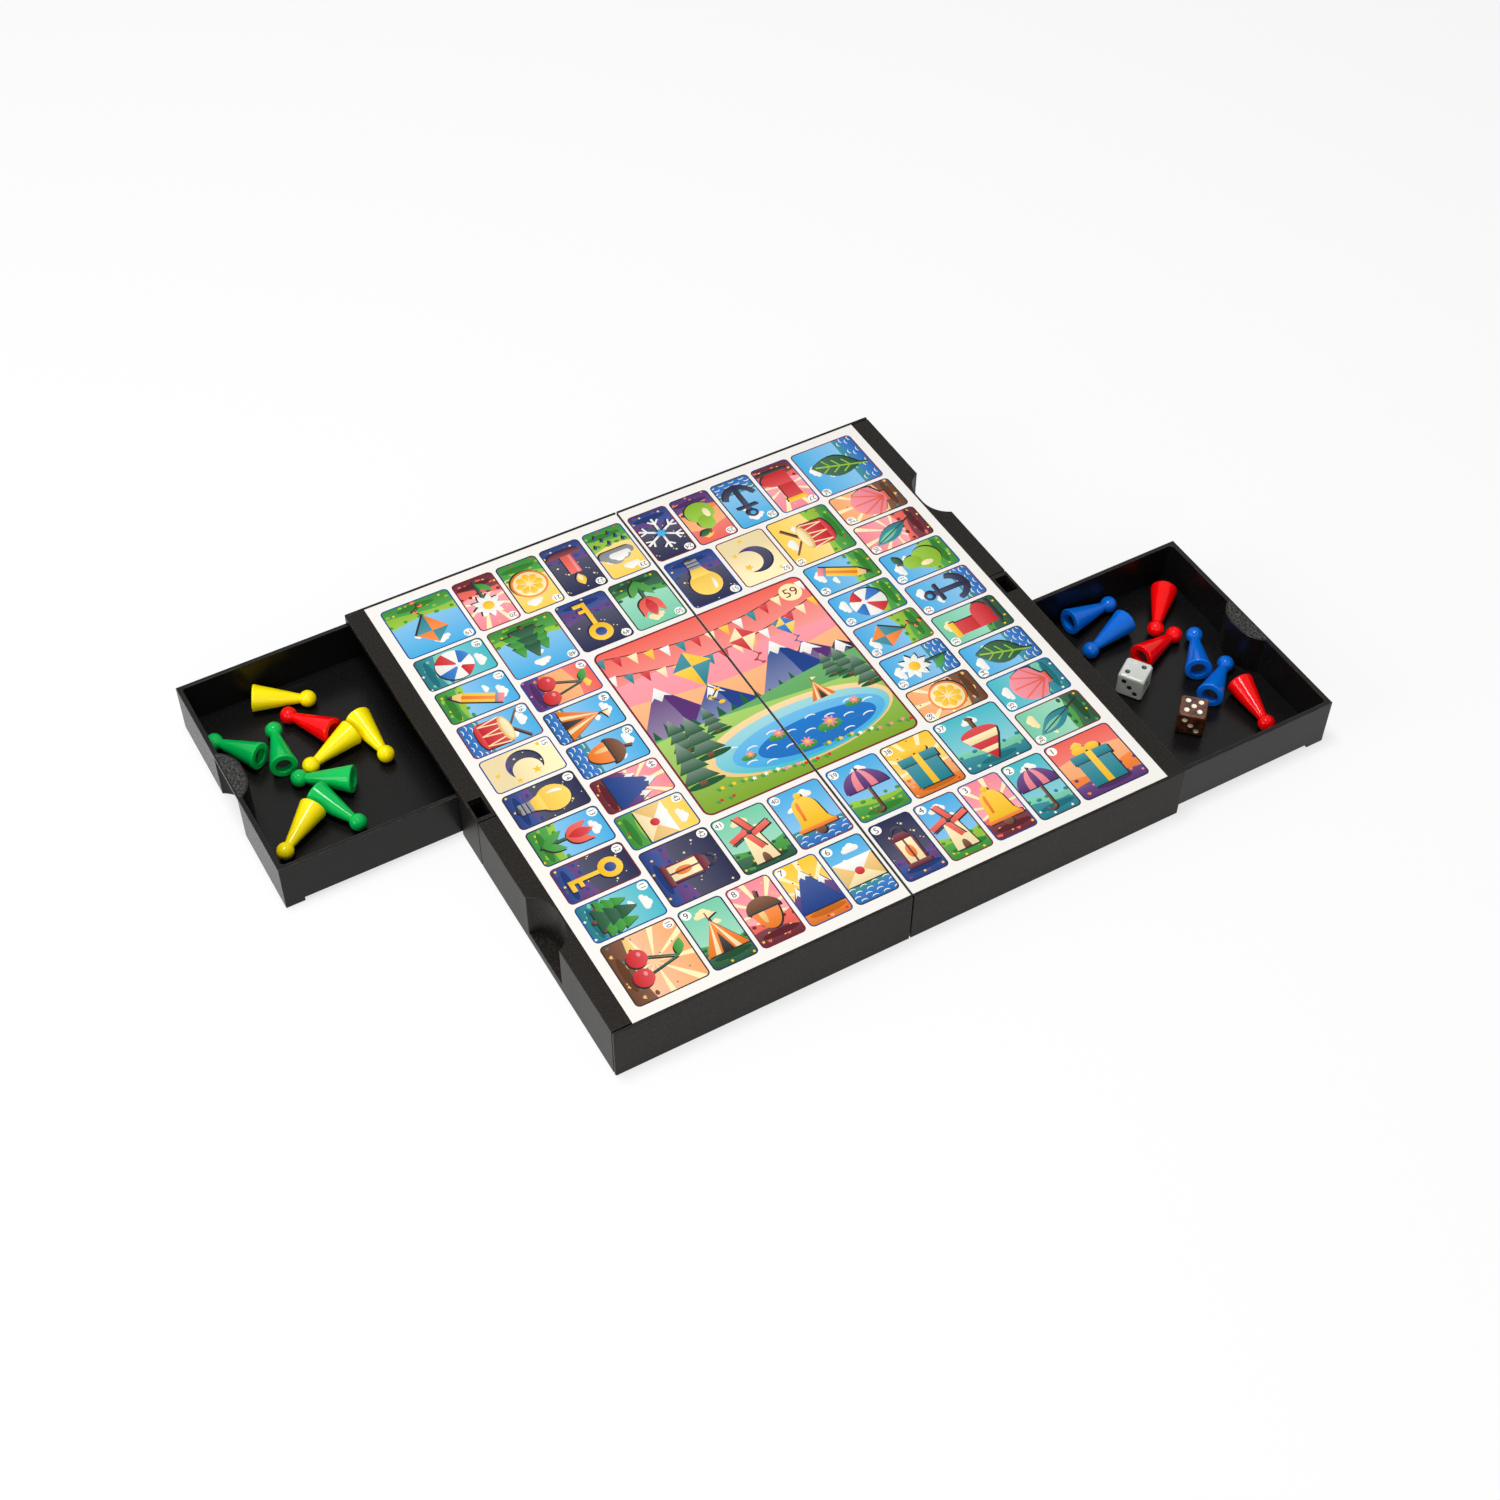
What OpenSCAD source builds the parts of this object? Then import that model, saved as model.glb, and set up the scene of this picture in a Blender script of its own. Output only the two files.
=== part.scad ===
// Folding magnetic race-game case, lying open.
// Two equal halves meet at a fold and are half a turn apart about the vertical axis. Each half is a
// black moulded base with a deck, a drawer, a fixed grip block and a printed sheet over a steel one.
// X runs across the fold, Y along it, Z up. The origin lies on the table under the middle of the fold.

/* [Case] */
// Length of the case along the fold
case_length = 250; // [246:1:280]
// Width of one half, from the fold line to its outer face
half_width = 132; // [130:1:150]
// Height of one half as it lies open
case_height = 27; // [26:0.5:34]
// Gap between the two halves along the fold
fold_gap = 0.8; // [0.6:0.1:1.6]
// Radius of the upright outer corners of a base
corner_r = 0.6; // [0.4:0.1:1.1]
// Thickness of the base floor
base_floor = 1.6; // [1.2:0.1:2.4]
// Thickness of the rim that stands beside the deck
rim_wall = 1.2; // [1.1:0.1:1.6]
// Width of the shelf inside the rim that carries the deck
shelf = 0.5; // [0.4:0.1:1]
// Thickness of the wall along the fold
fold_wall = 1.8; // [1.4:0.1:2.4]
// Thickness of the divider between the drawer bay and the closed chamber
divider = 2; // [1.6:0.1:3]
// Thickness of the ribs under the deck
rib = 1.6; // [1.2:0.1:2.4]
// Number of ribs in the closed chamber
rib_count = 3; // [1:1:5]

/* [Deck and sheets] */
// Thickness of the ledge, the bare strip of the deck along the outer side
deck_thick = 2.6; // [2.4:0.1:3.4]
// Width of the ledge
ledge = 8.6; // [8.4:0.1:10]
// Thickness of the steel sheet
steel_t = 0.5; // [0.3:0.1:0.6]
// Thickness of the printed sheet
print_t = 0.3; // [0.2:0.1:0.5]
// Thickness of the flexible hinge strip
strip_t = 0.4; // [0.3:0.1:0.5]
// Width of the hinge strip on each half
strip_flange = 9; // [6:0.5:14]
// Thickness of the rib under the deck that stops the drawer
stop_t = 2; // [1.4:0.1:3]
// How far the stop rib hangs below the deck
stop_d = 2.6; // [2:0.1:4]

/* [Post and grip block] */
// From the middle of the case to the drawer side of the post
post_drawer_side = 10.4; // [9:0.1:13]
// From the middle of the case to the grip block side of the post
post_block_side = 7.7; // [7:0.1:10]
// Depth of the post behind the outer face
post_depth = 14; // [11:0.5:20]
// Length of the square pocket in the post
pocket_l = 10; // [6:0.5:11]
// Width of the square pocket in the post
pocket_w = 6.2; // [4:0.1:6.6]
// Depth of the square pocket
pocket_d = 16; // [8:1:20]
// Wall between the pocket and the outer face
pocket_wall = 1; // [0.8:0.1:1.4]
// Wall between the pocket and the grip block
pocket_end = 1.8; // [1.2:0.1:2.2]
// Wall of the hollow grip block
block_wall = 1.8; // [1.4:0.1:2.2]
// Thickness of the lip that closes the notch below
notch_lip = 4.6; // [3:0.1:6]

/* [Finger notch and scoop] */
// Depth of the notch in from the outer face
notch_d = 7.8; // [5:0.1:7.8]
// Radius of the round sides of the notch, and of the scoop's bulge
notch_r = 13.5; // [10:0.5:18]
// Straight part of their bottom
notch_flat = 4.6; // [1:0.1:9]
// Thickness of the scoop wall that bulges into the drawer
scoop_wall = 1.5; // [1.2:0.1:2]
// Depth of the scoop in from the outer face
scoop_d = 6.5; // [5:0.1:7]
// Thickness of the roof over the scoop
scoop_roof = 1.6; // [1.2:0.1:2.4]

/* [Drawer] */
// Length of the drawer, front to rear
drawer_length = 128; // [118:1:128]
// How far the drawer slides out
drawer_travel = 78; // [60:1:84]
// Thickness of the drawer sides and rear
drawer_wall = 1.8; // [1.4:0.1:2.4]
// Thickness of the drawer floor
drawer_floor = 1.8; // [1.4:0.1:2.4]
// Thickness of the drawer front
drawer_front = 2; // [1.6:0.1:2.6]
// Inner corner radius of the tray
tray_r = 2; // [1:0.1:4]
// Depth of the lip under the drawer front
lip_depth = 8.3; // [6:0.1:8.3]

/* [Pawns] */
// Length of a pawn
pawn_length = 27; // [24:0.5:29]
// Diameter of the pawn base
pawn_base_d = 11.8; // [11:0.1:12]
// Diameter of the ball head
pawn_head_d = 7.4; // [6.6:0.1:7.6]
// Diameter of the neck
pawn_neck_d = 3.6; // [3:0.1:5]
// Height of the upright edge of the base
pawn_edge = 0.9; // [0.6:0.1:2]
// Radius that rounds the lower edge of the base
pawn_round = 0.5; // [0.3:0.1:0.6]
// Diameter of the bore in the base
pawn_bore_d = 7; // [6:0.1:7.4]
// Depth of the bore in the base
pawn_bore_depth = 5.6; // [4.5:0.1:6]
// Thickness of the magnet
magnet_t = 2.4; // [2:0.1:3]

/* [Dice] */
// Edge of a die
die_edge = 12; // [11:0.1:12.2]
// Radius of the edges of a die
die_r = 1.2; // [0.8:0.1:1.4]
// Diameter of the ball that rounds the corners of a die
die_round_d = 18.6; // [18:0.1:19]
// Diameter of a pip
pip_d = 2.4; // [1.8:0.1:2.6]
// Depth of a pip
pip_depth = 0.5; // [0.3:0.1:0.8]
// Distance from the middle of a face to its outer pips, along each edge
pip_pitch = 2.75; // [2.6:0.05:3.2]

/* [Clearances] */
// Seam between fixed pieces that show a gap
seam = 0.7; // [0.4:0.05:0.9]
// Gap around the sheets and the deck
lay_gap = 0.15; // [0.1:0.05:0.2]
// Side gap of a drawer in its bay
slide_gap = 0.4; // [0.3:0.05:0.5]
// Gap under and over a drawer
lift_gap = 0.35; // [0.25:0.05:0.5]
// Gap between the drawer's rear and its stop with the drawer out
stop_gap = 0.2; // [0.1:0.05:0.3]
// Gap under a loose piece
rest_gap = 0.15; // [0.1:0.05:0.2]
// Gap round a magnet in its bore
magnet_fit = 0.05; // [0.02:0.01:0.1]

/* [Hidden] */
$fn = 64;
eps = 0.5;

// Heights
deck_z = case_height - deck_thick;
sheet_z = case_height - print_t - steel_t;
tray_z = base_floor + lift_gap;
tray_floor_z = tray_z + drawer_floor;
rim_z = deck_z - lift_gap;

// Lines across the fold
fold_x = fold_gap / 2;
bay_x = fold_x + fold_wall;
ledge_x = half_width - ledge;
mouth_x = half_width - lip_depth - seam;
rear_x = half_width - drawer_length;
stop_x = rear_x + drawer_wall + drawer_travel + stop_gap;
panel_x = half_width - drawer_front;

// Lines along the fold, with the drawer on the negative side
end_y = case_length / 2;
deck_y = end_y - rim_wall - lay_gap;
chamber_y = end_y - rim_wall - shelf;
tray_out_y = chamber_y - slide_gap;
tray_in_y = post_drawer_side + slide_gap;
tray_mid_y = (tray_out_y + tray_in_y) / 2;
block_in_y = post_block_side + seam;
block_out_y = end_y - rim_wall - seam;
block_mid_y = (block_out_y + block_in_y) / 2;
pocket_y = post_block_side - pocket_end - pocket_l / 2;

// Inside of the drawer, with its sides and rear taken off
tray_low = [rear_x + drawer_wall, -tray_out_y + drawer_wall];
tray_high = [panel_x, -tray_in_y - drawer_wall];

// A pawn lies on the upper line of its base edge and on its head
pawn_head_z = pawn_length - pawn_head_d / 2;
pawn_span = pawn_head_z - pawn_edge;
pawn_tilt = acos(pawn_head_d / 2 / norm([pawn_base_d / 2, pawn_span])) - atan2(pawn_span, pawn_base_d / 2);

// Loose pieces, as they lie in the drawers: name, drawer, distance in from the drawer front, distance
// from the drawer side nearest the post, heading of the head from the outward direction, and the share
// of any change in the drawer's inside width that the piece moves by
LAID_WIDTH = 108.5;
PAWNS = [
    ["yellow_pawn_1", "left", 27, 102.5, 155, 1], ["yellow_pawn_2", "left", 56.5, 64, 18, 1],
    ["yellow_pawn_3", "left", 61.5, 70.5, 97, 1], ["yellow_pawn_4", "left", 26, 33.5, 37, 1],
    ["red_pawn_1", "left", 49.5, 68, 302, 1], ["green_pawn_1", "left", 17.5, 70, 305, 1],
    ["green_pawn_2", "left", 24, 60, 259, 1], ["green_pawn_3", "left", 46.5, 39.5, 325, 1],
    ["green_pawn_4", "left", 29.5, 40, 115, 1], ["red_pawn_2", "right", 9.5, 10.5, 225, 0.45],
    ["red_pawn_3", "right", 43.5, 39.5, 14, 0.45], ["red_pawn_4", "right", 15, 72.5, 263, 0.35],
    ["blue_pawn_1", "right", 58.5, 6.5, 5, 0], ["blue_pawn_2", "right", 36, 18, 194, 0.2],
    ["blue_pawn_3", "right", 26, 58, 57, 0.35], ["blue_pawn_4", "right", 31, 72.5, 35, 0.35],
];
DICE = [["white_die", "right", 53.5, 48.5, 33, 0.45], ["brown_die", "right", 44.5, 78, 46, 0.7]];

// Pips of a face, as steps of the pitch from its middle
PIPS = [
    [[0, 0]],
    [[-1, 1], [1, -1]],
    [[-1, -1], [0, 0], [1, 1]],
    [[-1, -1], [-1, 1], [1, -1], [1, 1]],
    [[-1, -1], [-1, 1], [0, 0], [1, -1], [1, 1]],
    [[-1, -1], [-1, 0], [-1, 1], [1, -1], [1, 0], [1, 1]],
];
// The turn that brings the top of a die to the face of each count, from 1 to 6
PIP_TURNS = [[90, 0, 0], [0, 0, 0], [0, -90, 0], [0, 90, 0], [180, 0, 0], [-90, 0, 0]];

SIDES = ["right", "left"];
PIECES = ["base", "deck", "grip_block", "steel_sheet", "print_sheet", "drawer"];

CASE_BLACK = [0.13, 0.13, 0.13];
PAWN_COLOURS = [
    ["y", [0.98, 0.84, 0]], ["r", [0.88, 0.05, 0.06]], ["g", [0, 0.67, 0.3]], ["b", [0.04, 0.38, 0.85]],
];

// The place of a half: the right one as drawn, the left one half a turn round
module on_side(side) rotate(side == "left" ? 180 : 0) children();

// Flat box between two plan corners
module slab(low, high, z0, z1) translate([low.x, low.y, z0]) cube([high.x - low.x, high.y - low.y, z1 - z0]);

// Plan of a plate between two corners, with round corners
module round_plan(low, high, r) {
    translate([low.x + r, low.y]) square([high.x - low.x - 2 * r, high.y - low.y]);
    translate([low.x, low.y + r]) square([high.x - low.x, high.y - low.y - 2 * r]);
    for (x = [low.x + r, high.x - r], y = [low.y + r, high.y - r]) translate([x, y]) circle(r);
}

// Plan of a finger recess: a slot with round ends that the outer face, the line x = 0, cuts across.
// It runs in to -depth. A bulge round it is the same slot, deeper and wider by the wall.
module recess_plan(depth, r) translate([r - depth, 0]) {
    square([2 * r, notch_flat], center = true);
    for (s = [-1, 1]) translate([0, s * notch_flat / 2]) circle(r);
}

// Half the width of such a recess at the outer face
function recess_reach(depth, r) = notch_flat / 2 + sqrt(r * r - pow(r - depth, 2));

// One half's base: floor, walls, divider and post, open above and at the drawer's mouth
module base() color(CASE_BLACK) difference() {
    // Round at the outer corners and square along the fold
    linear_extrude(case_height) {
        round_plan([fold_x, -end_y], [half_width, end_y], corner_r);
        translate([fold_x, -end_y]) square([fold_wall, case_length]);
    }
    // Seat of the deck
    slab([fold_x - eps, -end_y + rim_wall], [ledge_x, end_y - rim_wall], deck_z, case_height + eps);
    slab([ledge_x - eps, -end_y + rim_wall], [half_width + eps, post_block_side], deck_z, case_height + eps);
    // Drawer bay, without a floor where the lip of the drawer front comes
    slab([bay_x, -chamber_y], [half_width + eps, -post_drawer_side], base_floor, case_height);
    slab([mouth_x, -chamber_y], [half_width + eps, -post_drawer_side], -eps, case_height);
    // Closed chamber behind the grip block, and the seat of the block
    difference() {
        slab([bay_x, -post_drawer_side + divider], [ledge_x, chamber_y], base_floor, case_height);
        slab([half_width - post_depth, -post_drawer_side], [half_width, post_block_side], 0, case_height);
        for (i = [1 : rib_count]) chamber_rib(post_block_side + i * (chamber_y - post_block_side) / (rib_count + 1));
    }
    slab([ledge_x, post_block_side], [half_width + eps, end_y - rim_wall], -eps, case_height + eps);
    post_pocket();
}

module chamber_rib(y)
    slab([bay_x - eps, y - rib / 2], [half_width - post_depth, y + rib / 2], base_floor - eps, deck_z);

module post_pocket() slab(
    [half_width - pocket_wall - pocket_w, pocket_y - pocket_l / 2],
    [half_width - pocket_wall, pocket_y + pocket_l / 2], case_height - pocket_d, case_height + eps);

// One half's deck: a plate under the sheets, with the ledge over the drawer and the post. The rib below
// hangs into the tray and catches its rear.
module deck() color(CASE_BLACK) difference() {
    union() {
        slab([fold_x, -deck_y], [ledge_x - lay_gap, deck_y], deck_z, sheet_z);
        slab([ledge_x - eps, -deck_y], [half_width, post_block_side], deck_z, case_height);
        slab([stop_x, tray_low.y + 2 * tray_r], [stop_x + stop_t, tray_high.y - 2 * tray_r],
            deck_z - stop_d, deck_z + eps);
    }
    slab([fold_x - eps, -end_y], [fold_x + strip_flange + lay_gap, end_y], sheet_z - strip_t, case_height);
    slab([fold_x - eps, -end_y], [ledge_x, end_y], sheet_z, case_height + eps);
    post_pocket();
}

// Fixed block beside the post, with a notch to open the folded case by; hollow behind
module grip_block() color(CASE_BLACK) difference() {
    slab([ledge_x + lay_gap, block_in_y], [half_width, block_out_y], 0, case_height);
    translate([half_width, block_mid_y, notch_lip]) linear_extrude(case_height) recess_plan(notch_d, notch_r);
    for (s = [-1, 1]) block_core(s);
}

// Hollow of the block on one side of its notch, open towards the chamber
module block_core(s) {
    reach = (block_out_y - block_in_y) / 2 - block_wall;
    inset = recess_reach(notch_d, notch_r) + block_wall;
    translate([0, block_mid_y]) slab(
        [ledge_x, min(s * inset, s * reach)], [half_width - block_wall, max(s * inset, s * reach)],
        notch_lip, case_height - block_wall);
}

module steel_sheet() color("silver") sheet(sheet_z, sheet_z + steel_t);
module print_sheet() color([0.91, 0.9, 0.88]) sheet(sheet_z + steel_t, case_height);
module sheet(z0, z1) slab([fold_x + lay_gap, -deck_y], [ledge_x - lay_gap, deck_y], z0, z1);

// Flexible strip under the inner edges of both steel sheets
module hinge_strip() color([0.05, 0.05, 0.05]) slab(
    [-fold_x - strip_flange, -deck_y], [fold_x + strip_flange, deck_y], sheet_z - strip_t, sheet_z);

// Drawer, drawn shut and then slid out: tray, and a full-height front with a scoop under its rim
module drawer() color(CASE_BLACK) translate([drawer_travel, 0]) difference() {
    union() {
        slab([rear_x, -tray_out_y], [half_width, -tray_in_y], tray_z, rim_z);
        slab([half_width - lip_depth, -tray_out_y], [half_width, -tray_in_y], 0, tray_z + eps);
    }
    difference() {
        translate([0, 0, tray_floor_z]) linear_extrude(case_height) round_plan(tray_low, tray_high, tray_r);
        at_scoop() linear_extrude(rim_z) recess_plan(scoop_d + scoop_wall, notch_r);
    }
    at_scoop() translate([0, 0, -eps]) linear_extrude(rim_z - scoop_roof + eps)
        recess_plan(scoop_d, notch_r - scoop_wall);
}

module at_scoop() translate([half_width, -tray_mid_y]) children();

// Puts a piece on the floor of the open drawer of its side
module in_drawer(p) on_side(p[1])
    translate([tray_high.x + drawer_travel - p[2], tray_high.y - loose_off(p), tray_floor_z + rest_gap])
        rotate(p[4]) children();

// A piece's distance from the post side, in a drawer of any width
function loose_off(p) = p[3] + p[5] * (tray_high.y - tray_low.y - LAID_WIDTH);

// Lays an upright pawn down, head first along X
module laid_down()
    translate([0, 0, pawn_base_d / 2 * cos(pawn_tilt) + pawn_edge * sin(pawn_tilt)])
        rotate([0, 90 + pawn_tilt, 0]) children();

// Cone with a ball head, bored from below for its magnet
module pawn(p) color([for (c = PAWN_COLOURS) if (c[0] == p[0][0]) c[1]][0]) in_drawer(p) laid_down()
    rotate_extrude() difference() {
        union() {
            polygon([[0, 0], [pawn_base_d / 2 - pawn_round, 0], [pawn_base_d / 2, pawn_round],
                [pawn_base_d / 2, pawn_edge], [pawn_neck_d / 2, pawn_head_z - pawn_head_d / 4],
                [0, pawn_head_z - pawn_head_d / 4]]);
            translate([pawn_base_d / 2 - pawn_round, pawn_round]) circle(pawn_round);
            intersection() {
                translate([0, pawn_head_z]) circle(d = pawn_head_d);
                square(pawn_length);
            }
        }
        square([pawn_bore_d / 2, pawn_bore_depth]);
    }

module magnet(p) color([0.16, 0.16, 0.17]) in_drawer(p) laid_down()
    translate([0, 0, pawn_bore_depth - magnet_t]) cylinder(d = pawn_bore_d - 2 * magnet_fit, h = magnet_t);

// Cube with round edges, its corners rounded by a ball, and dished pips; the brown die shows its 5 on top
module die(d) {
    white = d[0] == "white_die";
    half = [die_edge, die_edge] / 2;
    color(white ? [0.82, 0.83, 0.81] : [0.36, 0.18, 0.06]) in_drawer(d) translate([0, 0, die_edge / 2])
        rotate([white ? 0 : 180, 0, 0]) difference() {
            intersection() {
                linear_extrude(die_edge, center = true) round_plan(-half, half, die_r);
                rotate([90, 0, 0]) linear_extrude(die_edge, center = true) round_plan(-half, half, die_r);
                rotate([0, 90, 0]) linear_extrude(die_edge, center = true) round_plan(-half, half, die_r);
                sphere(d = die_round_d);
            }
            for (count = [1 : 6]) rotate(PIP_TURNS[count - 1]) for (at = PIPS[count - 1])
                translate([at.x * pip_pitch, at.y * pip_pitch, die_edge / 2]) pip();
        }
}

// Ball that dishes a pip of its diameter and depth into the face below it
module pip() {
    ball_r = (pow(pip_d / 2, 2) + pow(pip_depth, 2)) / (2 * pip_depth);
    translate([0, 0, ball_r - pip_depth]) sphere(ball_r);
}

for (side = SIDES) {
    on_side(side) base();
    on_side(side) deck();
    on_side(side) grip_block();
    on_side(side) steel_sheet();
    on_side(side) print_sheet();
    on_side(side) drawer();
}
hinge_strip();
for (p = PAWNS) {
    pawn(p);
    magnet(p);
}
for (d = DICE) die(d);
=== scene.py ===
import math

import bpy
from mathutils import Matrix, Vector
from mathutils.geometry import delaunay_2d_cdt


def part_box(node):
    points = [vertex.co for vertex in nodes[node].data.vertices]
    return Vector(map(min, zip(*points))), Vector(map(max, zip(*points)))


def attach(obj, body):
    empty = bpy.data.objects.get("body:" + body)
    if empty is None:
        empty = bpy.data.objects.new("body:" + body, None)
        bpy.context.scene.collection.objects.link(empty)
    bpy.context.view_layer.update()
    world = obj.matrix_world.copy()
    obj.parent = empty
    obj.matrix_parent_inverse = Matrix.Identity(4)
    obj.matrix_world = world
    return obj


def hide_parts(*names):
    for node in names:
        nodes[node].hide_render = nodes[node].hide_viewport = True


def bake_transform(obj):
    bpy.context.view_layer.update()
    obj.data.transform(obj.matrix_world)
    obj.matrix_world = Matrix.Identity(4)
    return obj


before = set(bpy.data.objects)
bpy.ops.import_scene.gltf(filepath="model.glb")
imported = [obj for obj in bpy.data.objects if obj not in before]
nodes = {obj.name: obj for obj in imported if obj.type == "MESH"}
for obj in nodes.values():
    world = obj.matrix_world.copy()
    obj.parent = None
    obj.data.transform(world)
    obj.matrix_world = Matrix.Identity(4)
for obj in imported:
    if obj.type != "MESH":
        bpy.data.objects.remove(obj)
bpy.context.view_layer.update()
mm = 0.001


# Shader wiring

class Wire:
    # a shader socket; maths on it adds Math nodes
    def __init__(self, tree, socket=None):
        self.tree = tree
        self.socket = socket

    def node(self, kind, settings=None, sockets=None, out=0):
        made = self.tree.nodes.new("ShaderNode" + kind)
        for name, value in (settings or {}).items():
            setattr(made, name, value)
        for name, value in (sockets or {}).items():
            if isinstance(value, Wire):
                self.tree.links.new(value.socket, made.inputs[name])
            else:
                made.inputs[name].default_value = value
        return Wire(self.tree, made.outputs[out] if made.outputs else None)

    def sum(self, operation, a, b=0.0, clamp=False):
        return self.node("Math", {"operation": operation, "use_clamp": clamp}, {0: a, 1: b})

    def __add__(self, other):
        return self.sum("ADD", self, other)

    def __radd__(self, other):
        return self.sum("ADD", other, self)

    def __sub__(self, other):
        return self.sum("SUBTRACT", self, other)

    def __rsub__(self, other):
        return self.sum("SUBTRACT", other, self)

    def __mul__(self, other):
        return self.sum("MULTIPLY", self, other)

    def __rmul__(self, other):
        return self.sum("MULTIPLY", other, self)

    def __lt__(self, other):
        return self.sum("LESS_THAN", self, other)

    def __gt__(self, other):
        return self.sum("GREATER_THAN", self, other)

    def parts(self):
        # the three numbers of a vector
        split = self.node("SeparateXYZ", None, {"Vector": self}).socket.node
        return [Wire(self.tree, out) for out in split.outputs]

    def clamp(self):
        return self.sum("ADD", self, 0.0, True)

    def ramp(self, low, high):
        # 0 below low, 1 above high, smooth between
        return self.node("MapRange", {"interpolation_type": "SMOOTHSTEP"},
                         {"Value": self, "From Min": low, "From Max": high})

    def tint(self, low, high):
        # this wire as the factor between two colours
        return self.node("Mix", {"data_type": "RGBA"}, {0: self, 6: low, 7: high}, 2)


def linear(red, green, blue):
    # screen colour, 0 to 255, as the linear colour that Blender mixes
    def one(value):
        part = value / 255
        return part / 12.92 if part < 0.04045 else ((part + 0.055) / 1.055) ** 2.4
    return (one(red), one(green), one(blue), 1.0)


def shade(colour, factor):
    return tuple(min(part * factor, 1.0) for part in colour[:3]) + (1.0,)


white = (1.0, 1.0, 1.0, 1.0)


def addObject(name, data):
    made = bpy.data.objects.new(name, data)
    bpy.context.scene.collection.objects.link(made)
    return made


def newMaterial(name):
    material = bpy.data.materials.new(name)
    material.use_nodes = True
    material.node_tree.nodes.clear()
    return material, Wire(material.node_tree)


def inMillimetres(w):
    # the piece's own coordinates, so that a pattern stays on it as it moves
    own = w.node("TexCoord", out="Object")
    return w.node("VectorMath", {"operation": "SCALE"}, {0: own, "Scale": 1000.0})


def noise(w, place, size, detail=2.0, rough=0.5):
    # size is the width of a patch in millimetres
    return w.node("TexNoise", None, {"Vector": place, "Scale": 1.0 / size, "Detail": detail,
                                     "Roughness": rough}, "Fac")


def scratches(w, place, turn, length, width, share):
    # fine hairlines: noise drawn out along one direction, cut to its thin peaks
    line = w.node("Mapping", None, {"Vector": place, "Rotation": (0.0, 0.0, turn),
                                    "Scale": (1.0 / length, 1.0 / width, 1.0 / width)})
    peak = w.node("TexNoise", None, {"Vector": line, "Scale": 1.0, "Detail": 1.0}, "Fac")
    return peak.ramp(1.0 - share, 1.0 - share + 0.05)


def bumped(w, height, strength, depth, under=None):
    # depth in millimetres, over another normal where one is given
    sockets = {"Strength": strength, "Distance": depth * mm, "Height": height}
    if under:
        sockets["Normal"] = under
    return w.node("Bump", None, sockets)


def surface(w, sockets):
    w.node("OutputMaterial", None, {"Surface": w.node("BsdfPrincipled", None, sockets)})


def scatter(weight, radius):
    # light that spreads under the surface, radius in millimetres for red, green and blue
    return {"Subsurface Weight": weight, "Subsurface Radius": tuple(part * mm for part in radius),
            "Subsurface Scale": 1.0}


# Moulded plastics: case, drawers, pawns
# sizes in millimetres; a ramp is where a noise starts and ends to show; a hair is turn, length, width, share

mould = {"samples": 6, "cornerReach": 1.5, "cornerRamp": (0.7, 0.9), "patch": 38.0, "edgeGain": 5.0,
         "wearPatch": 5.0, "wearRamp": (0.38, 0.66), "hairPatch": 26.0, "hairRamp": (0.42, 0.7),
         "hairs": ((0.35, 22.0, 0.16, 0.27), (-0.8, 14.0, 0.13, 0.26), (1.45, 30.0, 0.2, 0.26)),
         "hairTint": 0.5, "hairRough": 0.25, "hairDepth": 0.6, "speckRamp": (0.5, 0.68), "speckLift": 7.0,
         "roughShares": (0.6, 0.4), "bump": (0.6, 0.06), "scatter": (1.6, 0.7, 0.3)}


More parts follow.
